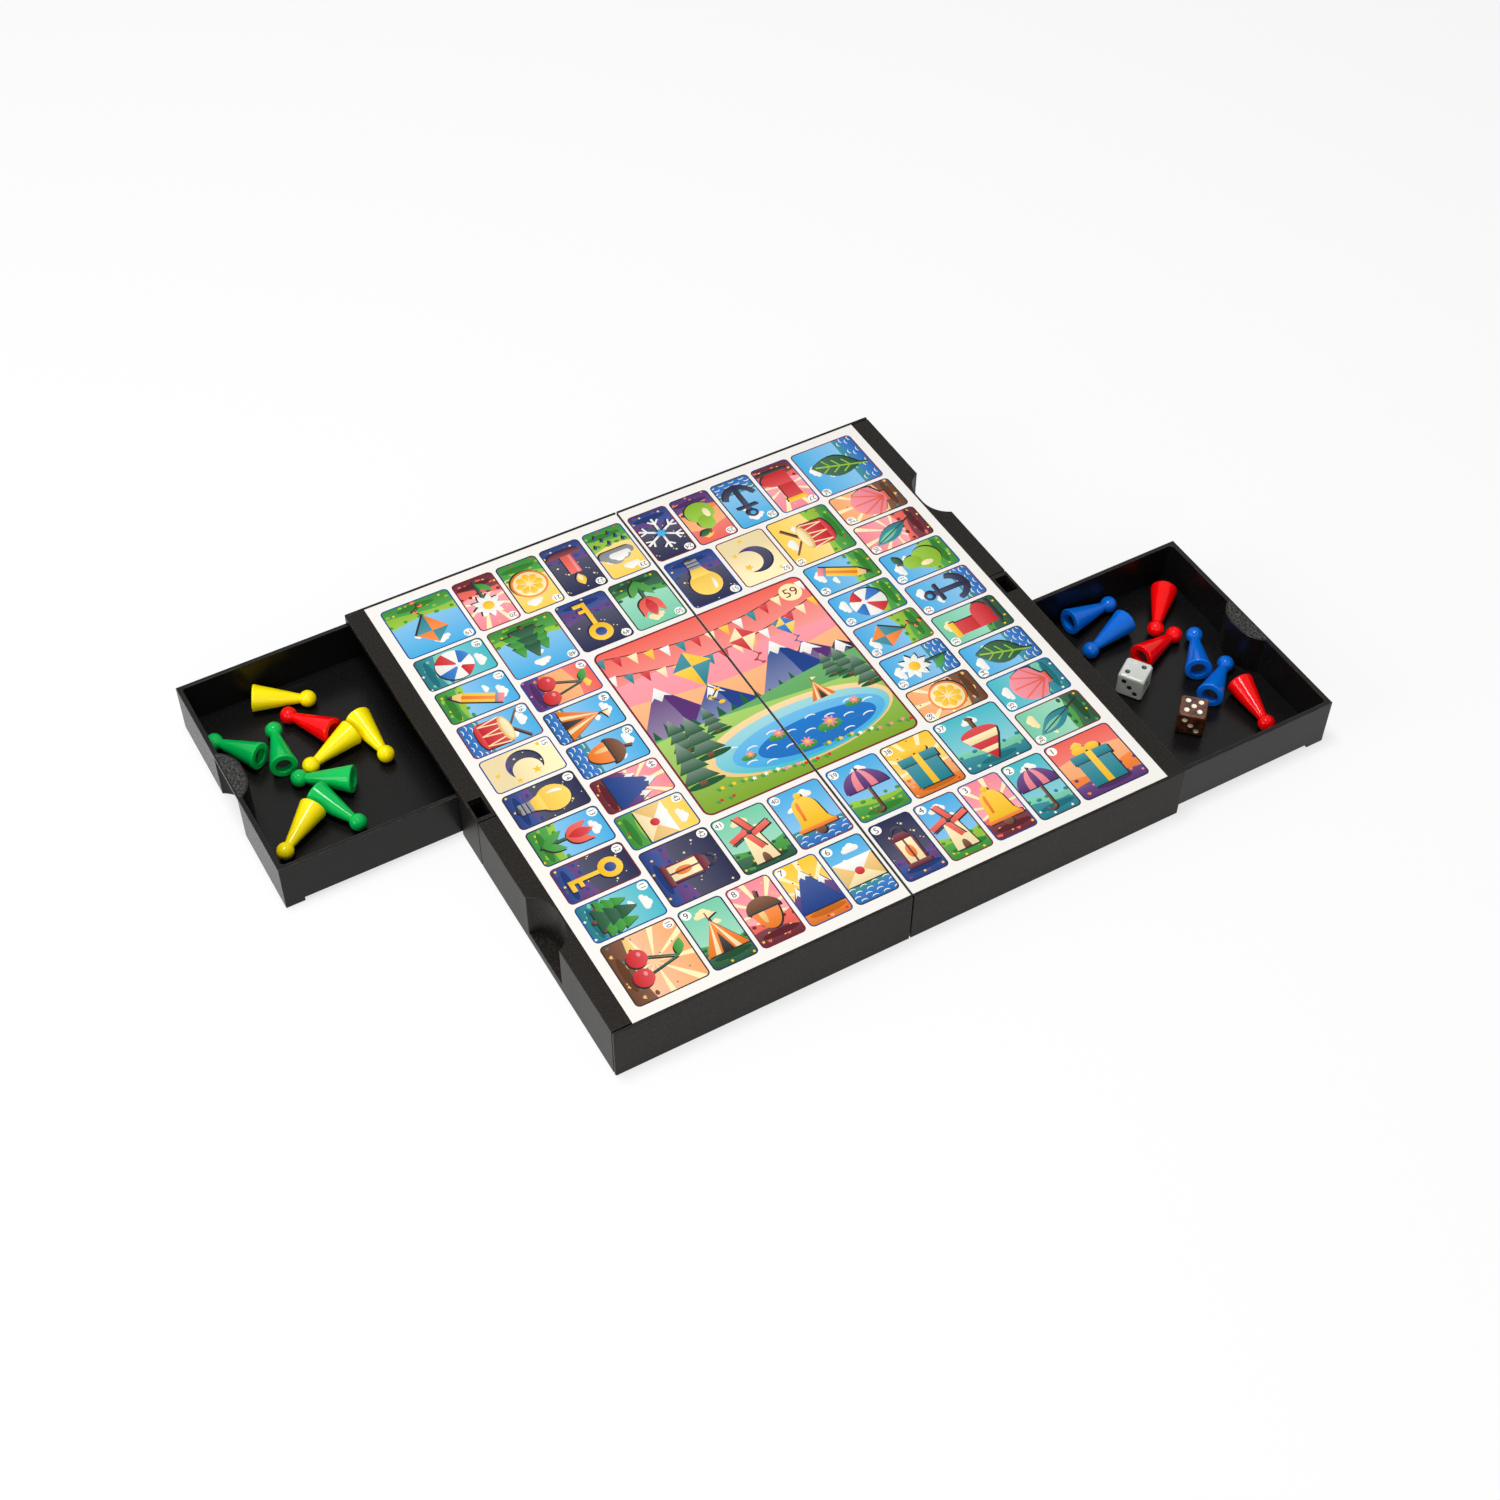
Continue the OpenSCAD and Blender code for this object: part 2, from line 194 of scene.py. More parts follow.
def mouldedPlastic(name, look, mattPatch=None):
    material, w = newMaterial(name)
    place = inMillimetres(w)
    flat = w.node("NewGeometry", out="Normal")
    rounded = w.node("Bevel", {"samples": mould["samples"]}, {"Radius": look["edge"] * mm})
    # corners that fold inwards stay sharp, unworn and without the painted edge highlight
    standsOut = w.node("AmbientOcclusion", {"samples": mould["samples"], "only_local": True},
                       {"Distance": mould["cornerReach"] * mm}, "AO").ramp(*mould["cornerRamp"])
    soft = w.node("Mix", {"data_type": "VECTOR"}, {0: standsOut, 4: flat, 5: rounded}, 1)
    meet = w.node("VectorMath", {"operation": "DOT_PRODUCT"}, {0: soft, 1: flat}, "Value")
    patch = noise(w, place, mould["patch"], 3.0)
    grain = noise(w, place, look["grainSize"], 3.0, 0.6)
    rubbed = noise(w, place, mould["wearPatch"], 4.0, 0.7).ramp(*mould["wearRamp"])
    # convex edges, lighter in the worn colour: partly real wear, partly a painted highlight along the rims
    edge = ((1.0 - meet) * mould["edgeGain"]).clamp() * rubbed
    first, second, third = [scratches(w, place, *line) for line in mould["hairs"]]
    hair = (first + second + third).clamp() * noise(w, place, mould["hairPatch"]).ramp(*mould["hairRamp"])
    base, drift = look["colour"], look["drift"]
    colour = patch.tint(shade(base, 1.0 - drift), shade(base, 1.0 + drift))
    specks = grain.ramp(*mould["speckRamp"]) * look["speck"]
    colour = specks.tint(colour, shade(base, mould["speckLift"]))
    # painted edge highlight and real edge wear, tinted together
    colour = (edge * look["edgeWearAndHighlight"]).tint(colour, look["worn"])
    colour = (hair * look["scuff"] * mould["hairTint"]).tint(colour, look["worn"])
    low, high = look["rough"]
    patchShare, grainShare = mould["roughShares"]
    rough = low + (high - low) * (patch * patchShare + grain * grainShare)
    rough = rough + hair * look["scuff"] * mould["hairRough"]
    height = grain * look["grainDepth"] - hair * look["scuff"] * mould["hairDepth"]
    if mattPatch:
        matt, front = mattPatch(w, place)
        sand = noise(w, place, mattLook["grainSize"], 2.0, 0.7).ramp(*mattLook["ramp"])
        colour = matt.tint(colour, sand.tint(mattLook["low"], mattLook["high"]))
        rough = rough + matt * (mattLook["rough"] - rough)
        height = height + matt * sand * mattLook["grainDepth"] + front * sand * mattLook["frontDepth"]
    surface(w, {"Base Color": colour, "Roughness": rough.clamp(),
                "Normal": bumped(w, height, *mould["bump"], soft), "Specular IOR Level": look["gloss"],
                "Specular Tint": look.get("sheen", white),
                **scatter(look.get("depth", 0.0), mould["scatter"])})
    return material


# the edge amount sets how far convex edges turn to the worn colour, which is real wear and a painted
# highlight together
caseLook = {"colour": linear(13, 11, 9), "sheen": (1.0, 0.92, 0.85, 1.0), "drift": 0.16, "grainSize": 0.6,
            "speck": 0.85, "grainDepth": 1.8, "edge": 0.6, "rough": (0.32, 0.5), "gloss": 0.16, "edgeWearAndHighlight": 0.55,
            "worn": linear(90, 86, 82), "scuff": 0.4}
drawerLook = {"colour": linear(12, 11, 11), "sheen": (1.0, 0.97, 0.94, 1.0), "drift": 0.18, "grainSize": 0.6,
              "speck": 0.25, "grainDepth": 0.3, "edge": 0.6, "rough": (0.2, 0.36), "gloss": 0.2, "edgeWearAndHighlight": 0.6,
              "worn": linear(94, 92, 88), "scuff": 0.6}
mattLook = {"low": linear(15, 15, 15), "high": linear(76, 76, 75), "rough": 0.85, "grainSize": 1.0,
            "grainDepth": 3.0, "frontDepth": 2.2, "ramp": (0.36, 0.66)}
scoopLook = {"deep": 8.0, "round": 13.5, "flat": 4.6, "edge": 0.7, "skin": 0.1}
pawnLook = {"drift": 0.05, "grainSize": 0.9, "speck": 0.0, "grainDepth": 0.15, "edge": 0.3,
            "rough": (0.08, 0.14), "gloss": 0.18, "edgeWearAndHighlight": 0.15, "scuff": 0.2, "depth": 0.3}
pawnInks = {"yellow": linear(255, 226, 2), "red": linear(236, 4, 9), "green": linear(4, 184, 84),
            "blue": linear(3, 102, 206)}


def scoopRoof(w, place):
    # masks of the grained D on top of each scoop and of the drawer's outer front
    # the two drawers lie half a turn apart, so signs fall away
    low, high = (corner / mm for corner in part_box("right_drawer"))
    x, y, z = w.node("VectorMath", {"operation": "ABSOLUTE"}, {0: place}).parts()
    inwards = high.x - scoopLook["deep"] + scoopLook["round"] - x
    aside = w.sum("MAXIMUM", w.sum("ABSOLUTE", y + (low.y + high.y) / 2) - scoopLook["flat"] / 2, 0.0)
    far = w.sum("SQRT", inwards * inwards + aside * aside)
    inside = (far < scoopLook["round"] - scoopLook["edge"]) * (x < high.x - scoopLook["edge"])
    return inside * (z > high.z - scoopLook["skin"]), x > high.x - scoopLook["skin"]


def pawnPlastic(ink):
    colour = pawnInks[ink]
    # a lighter worn colour, which also paints the highlight along the pawn's edges
    return mouldedPlastic(ink + "Plastic", dict(pawnLook, colour=colour, worn=shade(colour, 1.25)))


# Hidden metals and the hinge cloth

steelLook = {"low": linear(150, 150, 152), "high": linear(182, 182, 184), "patch": 30.0,
             "lines": (0.0, 40.0, 0.2, 0.5), "rough": (0.34, 0.12, 0.1), "bump": (0.3, 0.02)}
magnetLook = {"low": linear(34, 34, 36), "high": linear(64, 63, 64), "grainSize": 0.25, "metal": 0.25,
              "rough": (0.5, 0.2), "bump": (0.6, 0.05)}
clothLook = {"low": linear(10, 10, 10), "high": linear(30, 30, 30), "weave": 0.9, "metal": 0.0,
             "rough": (0.6, 0.2), "bump": (0.5, 0.05)}


def rolledSteel():
    material, w = newMaterial("rolledSteel")
    place = inMillimetres(w)
    grain = scratches(w, place, *steelLook["lines"])
    patch = noise(w, place, steelLook["patch"], 3.0)
    least, byGrain, byPatch = steelLook["rough"]
    surface(w, {"Base Color": patch.tint(steelLook["low"], steelLook["high"]), "Metallic": 1.0,
                "Roughness": (least + grain * byGrain + patch * byPatch).clamp(),
                "Normal": bumped(w, grain, *steelLook["bump"])})
    return material


def ferriteGrain(w, place):
    return noise(w, place, magnetLook["grainSize"], 4.0, 0.7)


def clothWeave(w, place):
    across, along = [w.node("TexWave", {"bands_direction": way},
                            {"Vector": place, "Scale": clothLook["weave"]}, "Fac") for way in "XY"]
    return w.sum("MAXIMUM", across, along)


def plainFinish(name, look, pattern):
    material, w = newMaterial(name)
    grain = pattern(w, inMillimetres(w))
    least, byGrain = look["rough"]
    surface(w, {"Base Color": grain.tint(look["low"], look["high"]), "Roughness": least + grain * byGrain,
                "Metallic": look["metal"], "Normal": bumped(w, grain, *look["bump"])})
    return material


# Dice: the pips are dished, so paint goes where a flat of the cube lies deeper than its face

dieLook = {"edge": 12.0, "flat": 4.7, "lip": 0.03, "soft": 0.3, "samples": 6, "swirlRamp": (0.35, 0.68),
           "scuff": (0.6, 6.0, 0.12, 0.3), "scuffPatch": 4.0, "scuffRamp": (0.4, 0.6), "grainSize": 0.8,
           "bump": (0.25, 0.03), "scatter": (1.2, 1.0, 0.8), "paintRough": 0.2, "scuffRough": 0.2,
           "swirlRough": 0.06, "coat": 0.25, "coatRough": 0.08}
whiteDie = {"name": "white_die", "heading": 33.0, "body": linear(208, 211, 205),
            "vein": linear(196, 199, 191), "patch": 9.0, "pip": linear(12, 12, 13), "rough": 0.24,
            "depth": 0.25}
brownDie = {"name": "brown_die", "heading": 46.0, "body": linear(104, 50, 15), "vein": linear(48, 20, 7),
            "patch": 3.2, "pip": linear(240, 228, 208), "rough": 0.2, "depth": 0.1}


def diePlastic(look):
    material, w = newMaterial(look["name"].replace("_die", "DiePlastic"))
    low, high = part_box(look["name"])
    middle = (low + high) / 2 / mm
    place = inMillimetres(w)
    fromMiddle = w.node("VectorMath", {"operation": "SUBTRACT"}, {0: place, 1: middle})
    level = w.node("VectorRotate", {"rotation_type": "Z_AXIS"},
                   {"Vector": fromMiddle, "Angle": -math.radians(look["heading"])})
    x, y, z = w.node("VectorMath", {"operation": "ABSOLUTE"}, {0: level}).parts()
    reach = w.sum("MAXIMUM", x, w.sum("MAXIMUM", y, z))
    least = w.sum("MINIMUM", x, w.sum("MINIMUM", y, z))
    paint = (reach < dieLook["edge"] / 2 - dieLook["lip"]) * (x + y + z - reach - least < dieLook["flat"])
    swirl = noise(w, place, look["patch"], 4.0, 0.62)
    body = swirl.ramp(*dieLook["swirlRamp"]).tint(look["vein"], look["body"])
    soft = w.node("Bevel", {"samples": dieLook["samples"]}, {"Radius": dieLook["soft"] * mm})
    rubbed = noise(w, place, dieLook["scuffPatch"]).ramp(*dieLook["scuffRamp"])
    scuff = scratches(w, place, *dieLook["scuff"]) * rubbed
    height = noise(w, place, dieLook["grainSize"], 2.0) - scuff
    rough = look["rough"] + paint * dieLook["paintRough"] + scuff * dieLook["scuffRough"]
    surface(w, {"Base Color": paint.tint(body, look["pip"]),
                "Normal": bumped(w, height, *dieLook["bump"], soft),
                "Roughness": (rough + swirl * dieLook["swirlRough"]).clamp(),
                "Coat Weight": dieLook["coat"], "Coat Roughness": dieLook["coatRough"],
                **scatter(look["depth"], dieLook["scatter"])})
    return material


# Dress the solids

finishes = {"case": mouldedPlastic("casePlastic", caseLook),
            "drawer": mouldedPlastic("drawerPlastic", drawerLook, scoopRoof), "steel": rolledSteel(),
            "magnet": plainFinish("magnetFerrite", magnetLook, ferriteGrain)}
finishes.update({ink: pawnPlastic(ink) for ink in pawnInks})
finishes.update({"white_die": diePlastic(whiteDie), "brown_die": diePlastic(brownDie)})


def finishOf(name):
    for end in ("magnet", "drawer"):
        if name.endswith("_" + end):
            return end
    if name.endswith("_steel_sheet"):
        return "steel"
    if name.endswith("_die"):
        return name
    return name.split("_")[0] if "_pawn_" in name else "case"


for name, node in nodes.items():
    node.data.materials.clear()
    node.data.materials.append(finishes[finishOf(name)])
print("solids dressed:", len(finishes), "finishes")

# Printed face: inks, flat shapes, pictures

inks = {
    "card": (233, 230, 225), "white": (244, 242, 236), "cream": (250, 230, 178), "sand": (236, 194, 116),
    "butter": (250, 206, 78), "peach": (244, 166, 104), "sky": (58, 168, 220), "blue": (16, 112, 192),
    "deep": (14, 60, 136), "navy": (20, 26, 70), "aqua": (58, 180, 192), "teal": (8, 130, 144),
    "mint": (112, 198, 162), "lime": (142, 190, 36), "green": (52, 150, 48), "pine": (10, 86, 50),
    "yellow": (252, 196, 24), "orange": (240, 124, 20), "coral": (234, 92, 76), "pink": (240, 134, 146),
    "red": (206, 24, 34), "maroon": (108, 14, 38), "plum": (88, 42, 116), "brown": (112, 62, 28),
    "dark": (36, 30, 34), "grey": (140, 142, 148),
}
# how a shape's ink runs from its foot to its top: under 1 darker, over 1 nearer to white
evenInk, softInk, airInk, hillInk = (1.0, 1.0), (0.78, 1.06), (1.28, 0.94), (0.62, 1.04)


def paint(ink, factor):
    colour = linear(*inks[ink])
    if factor <= 1.0:
        return shade(colour, factor)
    return tuple(part + (1.0 - part) * (factor - 1.0) for part in colour[:3]) + (1.0,)


def turned(points, angle, cx=0.0, cy=0.0):
    c, s = math.cos(math.radians(angle)), math.sin(math.radians(angle))
    return [(cx + (x - cx) * c - (y - cy) * s, cy + (x - cx) * s + (y - cy) * c) for x, y in points]


def moved(points, dx, dy, grow=1.0):
    return [(dx + x * grow, dy + y * grow) for x, y in points]


def arc(cx, cy, rx, ry, start, end, steps):
    spread = [math.radians(start + (end - start) * i / steps) for i in range(steps + 1)]
    return [(cx + rx * math.cos(a), cy + ry * math.sin(a)) for a in spread]


def oval(cx, cy, rx, ry, steps):
    return arc(cx, cy, rx, ry, 0, 360 - 360 / steps, steps - 1)


def disc(cx, cy, r, steps):
    return arc(cx, cy, r, r, 0, 360 - 360 / steps, steps - 1)


def rect(x0, y0, x1, y1):
    return [(x0, y0), (x1, y0), (x1, y1), (x0, y1)]


def roundRect(halfW, halfH, r, steps):
    corners = [(halfW - r, halfH - r, 0), (r - halfW, halfH - r, 90),
               (r - halfW, r - halfH, 180), (halfW - r, r - halfH, 270)]
    return [p for cx, cy, a in corners for p in arc(cx, cy, r, r, a, a + 90, steps)]


def bar(x0, y0, x1, y1, width):
    length = math.hypot(x1 - x0, y1 - y0)
    dx, dy = -(y1 - y0) / length * width / 2, (x1 - x0) / length * width / 2
    return [(x0 + dx, y0 + dy), (x0 - dx, y0 - dy), (x1 - dx, y1 - dy), (x1 + dx, y1 + dy)]


def starShape(cx, cy, outer, inner, points):
    return [(cx + r * math.cos(a), cy + r * math.sin(a)) for i in range(2 * points)
            for r, a in [(inner if i % 2 else outer, math.pi / 2 + math.pi * i / points)]]


def leafShape(length, width, steps=8):
    # pointed oval from the origin along +Y
    side = [(width / 2 * math.sin(math.pi * i / steps), length * i / steps) for i in range(steps + 1)]
    return side + [(-x, y) for x, y in reversed(side[1:-1])]


def leafAt(length, width, x, y, angle, steps=8):
    return turned(moved(leafShape(length, width, steps), x, y), angle, x, y)


def hillShape(left, right, foot, top, bend):
    # ground with a wavy upper line
    steps = 12
    line = [(left + (right - left) * i / steps,
             top + bend * math.sin(2.6 * i / steps * math.pi / 2 + top)) for i in range(steps + 1)]
    return [(left, foot), (right, foot)] + line[::-1]


def cloudShape(r):
    return (arc(1.5 * r, 0, 0.8 * r, 0.8 * r, -90, 60, 6) + arc(0.5 * r, 0.7 * r, r, r, 20, 130, 6)
            + arc(-0.7 * r, 0.45 * r, 0.8 * r, 0.8 * r, 70, 190, 6)
            + arc(-1.5 * r, -0.1 * r, 0.7 * r, 0.7 * r, 110, 270, 6))


def waveShape(x, y, wide, tall, thick, steps):
    return arc(x, y, wide, tall, 20, 160, steps) + arc(x, y - thick, wide, tall, 160, 20, steps)


def layPine(lay, cx, foot, size, tone, tiers, tall, run=softInk):
    for step, wide in tiers:
        y = foot + step * size
        lay([(cx - wide * size, y), (cx + wide * size, y), (cx, y + tall * size)], tone, run)


def topPicture(lay, main, accent):
    lay(rect(-0.6, 4.4, 0.6, 9), "brown")
    lay(oval(0, 9, 1.1, 0.8, 12), "brown")
    lay(arc(0, 2.4, 6.4, 2.6, 0, 180, 16) + [(-5.6, 0), (0, -9), (5.6, 0)], main)
    lay([(-6.3, 2), (-5, -0.9), (5, -0.9), (6.3, 2)], accent)
    lay([(-3.2, -3.8), (-2, -5.7), (2, -5.7), (3.2, -3.8)], accent)


def kitePicture(lay, main, accent):
    tail = [(0, -4), (1.6, -6.2), (-0.9, -8.2), (0.8, -10.4)]
    for (x0, y0), (x1, y1) in zip(tail, tail[1:]):
        lay(bar(x0, y0, x1, y1, 0.4), "dark")
        lay(oval(x1, y1, 0.9, 0.6, 10), main)
    lay([(0, 9), (5.4, 3.6), (0, -4)], main)
    lay([(0, 9), (0, -4), (-5.4, 3.6)], accent)
    lay([(0, 3.6), (5.4, 3.6), (0, -4)], accent)
    lay([(0, 3.6), (0, -4), (-5.4, 3.6)], main)


def pearPicture(lay, main, accent):
    lay(bar(0.2, 5.4, 1.2, 8.6, 0.8), "brown")
    lay(leafAt(5.2, 2.6, 0.8, 6.4, -62), "pine")
    lay(oval(0, -2.6, 5.4, 5.2, 24), main)
    lay(oval(0, 2.8, 3.1, 3.6, 20), main)
    lay(oval(-2.2, -1.6, 1.2, 2.4, 12), accent)


def cherryPicture(lay, main, accent):
    for x, y in ((-3, -2), (3.4, -3)):
        lay(bar(x, y, 1.2, 7.4, 0.6), "pine")
    lay(leafAt(6, 3, 1.2, 7.2, 62), "green")
    for cx, cy in ((-3.2, -3.6), (3.5, -4.8)):
        lay(oval(cx, cy, 3.2, 3.1, 20), main)
        lay(oval(cx - 1.1, cy + 1, 0.8, 0.6, 10), accent)


def tulipPicture(lay, main, accent):
    lay(rect(-0.5, -10, 0.5, 2), "pine")
    for length, lean in ((9, 24), (8, -28)):
        lay(leafAt(length, 3, 0, -9.5, lean), "green")
    lay(arc(0, 3.2, 4, 4.2, 180, 360, 14) + [(4, 7.4), (1.9, 4.8), (0, 8.2), (-1.9, 4.8), (-4, 7.4)], main)
    lay(moved(leafShape(8, 3.6), 0, -0.6), accent)


def daisyPicture(lay, main, accent):
    lay(rect(-0.45, -10, 0.45, 1), "pine")
    lay(leafAt(7, 2.8, 0, -9, 40), "green")
    for i in range(9):
        lay(leafAt(5.8, 2.5, 0, 2.4, i * 40), main)
    lay(disc(0, 2.4, 2.1, 16), accent)


def leafPicture(lay, main, accent):
    lay(turned(moved(leafShape(17, 10), 0, -8), -18), main)
    lay(turned(bar(0, -10.4, 0, 7.4, 0.7), -18), accent)
    for y in (-3.4, 0, 3.4):
        for x in (3, -3):
            lay(turned(bar(0, y - 1, x, y + 1.6, 0.5), -18), accent)


def acornPicture(lay, main, accent):
    lay(bar(0, 6, 0.7, 9, 1), "brown")
    lay(arc(0, 1.4, 4.6, 8, 180, 360, 18), main)
    lay(arc(-1.4, 0.6, 1, 4.6, 180, 360, 10), accent)
    lay(arc(0, 1.2, 5.6, 5, 0, 180, 16), "brown")
    lay(rect(-5.6, 0.6, 5.6, 1.8), "dark")


def peaksPicture(lay, main, accent):
    for cx, top, wide, tone in ((-4.4, 3.6, 6, accent), (4.6, 5, 6.4, accent), (0, 9, 8, main)):
        lay([(cx - wide, -7), (cx + wide, -7), (cx, top)], tone)
        lay([(cx, top), (cx + wide * 0.3, top - 4), (cx + 0.7, top - 3), (cx, top - 4.4),
             (cx - 0.8, top - 3), (cx - wide * 0.3, top - 4)], "white")


def tentPicture(lay, main, accent):
    lay(bar(0, 5, 0, 9, 0.5), "brown")
    lay([(0.2, 9), (0.2, 6.6), (3.4, 7.8)], accent)
    lay([(-7.2, -7), (7.2, -7), (0, 5.6)], main)
    lay([(-4.4, -7), (-2.6, -7), (0, 5.6)], accent)
    lay([(2.6, -7), (4.4, -7), (0, 5.6)], accent)
    lay([(-1.9, -7), (1.9, -7), (0, 0.8)], "dark")


def lanternPicture(lay, main, accent):
    lay(arc(0, 6, 2.6, 3.2, 0, 180, 10) + arc(0, 6, 1.9, 2.5, 180, 0, 10), "dark")
    lay([(-3.8, 3.4), (3.8, 3.4), (1.8, 6.4), (-1.8, 6.4)], main)
    lay(rect(-3.2, -6, 3.2, 3.4), "cream")
    lay(oval(0, -1.6, 1.6, 2.8, 14), accent)
    for x in (-3.2, 0, 3.2):
        lay(rect(x - 0.35, -6, x + 0.35, 3.4), main)
    lay(rect(-4.2, -7.8, 4.2, -6), main)


def bootPicture(lay, main, accent):
    lay(rect(-4, -3, 2, 8.4), main)
    lay(arc(1.6, -4.4, 5.2, 3.6, -90, 90, 12) + [(-4, -0.8), (-4, -8)], main)
    lay(rect(-4.6, 6.6, 2.6, 8.8), accent)
    lay(rect(-4.4, -9.2, 6.4, -7.8), "dark")


def windmillPicture(lay, main, accent):
    lay([(-4, -9), (4, -9), (2.4, 3), (-2.4, 3)], main)
    lay(arc(0, 3, 2.6, 2.6, 0, 180, 10), "brown")
    lay(arc(0, -9, 1.3, 3.4, 0, 180, 8), "brown")
    for i in range(4):
        lay(turned(rect(0.3, 3.2, 2.2, 10), 20 + 90 * i, 0, 3), accent)
        lay(turned(rect(-0.25, 3, 0.25, 10.4), 20 + 90 * i, 0, 3), "dark")
    lay(disc(0, 3, 0.9, 12), "dark")


def bellPicture(lay, main, accent):
    lay(disc(0, -6.4, 1.7, 14), "brown")
    lay(arc(0, 2.6, 4.2, 5, 0, 180, 14) + [(-4.6, -2), (-6.4, -5.2), (6.4, -5.2), (4.6, -2)], main)
    lay(rect(-6.4, -5.6, 6.4, -4.2), accent)
    lay(arc(-1.7, 2.6, 1, 3.4, 60, 200, 8) + [(-3, -1.6), (-2, -1.6)], accent)
    lay(disc(0, 8.2, 1.2, 12), main)


def keyPicture(lay, main, accent):
    lay(rect(-0.8, -9, 0.8, 3), main)
    lay(rect(0.8, -9, 3.6, -7.4), main)
    lay(rect(0.8, -6, 2.9, -4.6), main)
    lay(disc(0, 5.4, 4, 20), main)
    lay(disc(0, 5.4, 1.9, 16), accent)


def envelopePicture(lay, main, accent):
    lay(rect(-7, -5, 7, 5), main)
    lay([(-7, -5), (0, 1), (7, -5)], accent)
    lay([(-7, 5), (0, -1.4), (7, 5)], "white")
    lay(disc(0, -0.4, 1.6, 14), "red")


def giftPicture(lay, main, accent):
    for x in (-2.3, 2.3):
        lay(oval(x, 6, 2.4, 1.6, 14), accent)
    lay(rect(-5.8, -8, 5.8, 2.4), main)
    lay(rect(-6.6, 1.6, 6.6, 4.8), main)
    lay(rect(-6.6, 1.2, 6.6, 1.7), "dark")
    lay(rect(-1.1, -8, 1.1, 4.8), accent)


def ballPicture(lay, main, accent):
    lay(disc(0, 0, 6.6, 30), "white")
    for i, tone in enumerate((main, accent, main, accent)):
        start = 20 + i * 90
        lay(arc(0, 0, 6.6, 6.6, start, start + 45, 6) + [(0.6, 1.2)], tone)
    lay(disc(0.6, 1.2, 1.1, 12), "white")


def bulbPicture(lay, main, accent):
    lay(oval(0, 2.8, 5.4, 5.6, 24), main)
    lay([(-3.6, -0.8), (3.6, -0.8), (2.2, -4.6), (-2.2, -4.6)], main)
    lay(arc(-1.8, 3.6, 1.4, 2.8, 80, 240, 8), "white")
    for y in (-4.6, -6.2, -7.8):
        lay(rect(-2.2, y - 1.2, 2.2, y), accent)
    lay(oval(0, -9.3, 1.2, 0.7, 10), "dark")


def candlePicture(lay, main, accent):
    lay(arc(0, -7, 6.4, 2, 180, 360, 14) + [(6.4, -6.2), (-6.4, -6.2)], accent)
    lay(rect(-2.1, -6.4, 2.1, 3), main)
    lay(rect(-1.6, -6.2, -0.7, 2.6), "pink")
    lay(bar(0, 2.8, 0, 4.4, 0.5), "dark")
    lay(moved(leafShape(6, 3.4), 0, 3.6), "yellow")
    lay(moved(leafShape(3.6, 1.8), 0, 3.9), "cream")


def moonPicture(lay, main, accent):
    lay(arc(0, 1, 6.2, 6.2, 50, 310, 22) + arc(2.6, 1, 5, 5, 290, 70, 18), main)
    for x, y, r in ((3.8, 3.6, 1.7), (5.4, -3.2, 1.2), (0.6, -8.6, 1.2), (-5.8, 8.4, 1.1)):
        lay(starShape(x, y, r, r * 0.45, 5), accent)


def rainPicture(lay, main, accent):
    for i in range(7):
        x, y = -5.4 + 1.8 * i, -3.4 - 2.3 * (i % 3)
        lay(bar(x + 0.4, y, x - 0.4, y - 1.9, 0.7), accent)
    lay(moved(cloudShape(3), 0.2, 1.4, 0.98), main)
    lay(moved(cloudShape(2), -0.6, 2.2, 0.9), "white")


def snowPicture(lay, main, accent):
    for i in range(6):
        lay(turned(rect(-0.45, 0, 0.45, 8), 60 * i), main)
        for x in (2, -2):
            lay(turned(bar(0, 5, x, 7, 0.7), 60 * i), main)
    lay(starShape(0, 0, 2.6, 1.3, 6), accent)


def shellPicture(lay, main, accent):
    lay(rect(-2.4, -7.6, 2.4, -5.2), accent)
    lay(arc(0, -1, 7, 7.6, -20, 200, 22) + [(-1.2, -6.6), (1.2, -6.6)], main)
    for angle in (-52, -26, 0, 26, 52):
        lay(turned(bar(0, -6, 0, 5.6, 0.7), angle, 0, -6), accent)


def anchorPicture(lay, main, accent):
    lay(arc(0, -1.6, 6.6, 7, 190, 350, 16) + arc(0, -0.6, 4.9, 5.4, 345, 195, 16), main)
    lay(rect(-0.9, -8, 0.9, 5), main)
    lay(rect(-4, 2.4, 4, 3.8), main)
    lay(disc(0, 6.6, 2.1, 16), main)
    lay(disc(0, 6.6, 1, 12), accent)


def pencilPicture(lay, main, accent):
    def tilt(points):
        return turned(points, -28)
    lay(tilt(rect(-2, -5, 2, 6)), main)
    lay(tilt(rect(-0.7, -5, 0.7, 6)), accent)
    lay(tilt([(-2, -5), (2, -5), (0, -10)]), "sand")
    lay(tilt([(-0.8, -8), (0.8, -8), (0, -10)]), "dark")
    lay(tilt(rect(-2, 6, 2, 7)), "grey")
    lay(tilt(rect(-2, 7, 2, 9)), "pink")


def drumPicture(lay, main, accent):
    for side in (-1, 1):
        lay(bar(6.4 * side, 9, -0.4 * side, 3.6, 0.7), "brown")
    lay(rect(-5.8, -5.6, 5.8, 2.6), main)
    lay(arc(0, -5.6, 5.8, 2, 180, 360, 14), main)
    for x in (-4.4, 0, 4.4):
        for lean in (-1.4, 1.4):
            lay(bar(x + lean, 2, x, -5.8, 0.5), "cream")
    lay(oval(0, 2.6, 5.8, 2, 22), accent)
    lay(oval(0, 2.8, 4.8, 1.4, 20), "cream")


def featherPicture(lay, main, accent):
    lay(turned(moved(leafShape(16, 6), 0, -6), 24), main)
    lay(turned(moved(leafShape(11, 2.6), 0, -2), 24), accent)
    lay(turned(bar(0, -10.4, 0, 8.6, 0.5), 24), "dark")


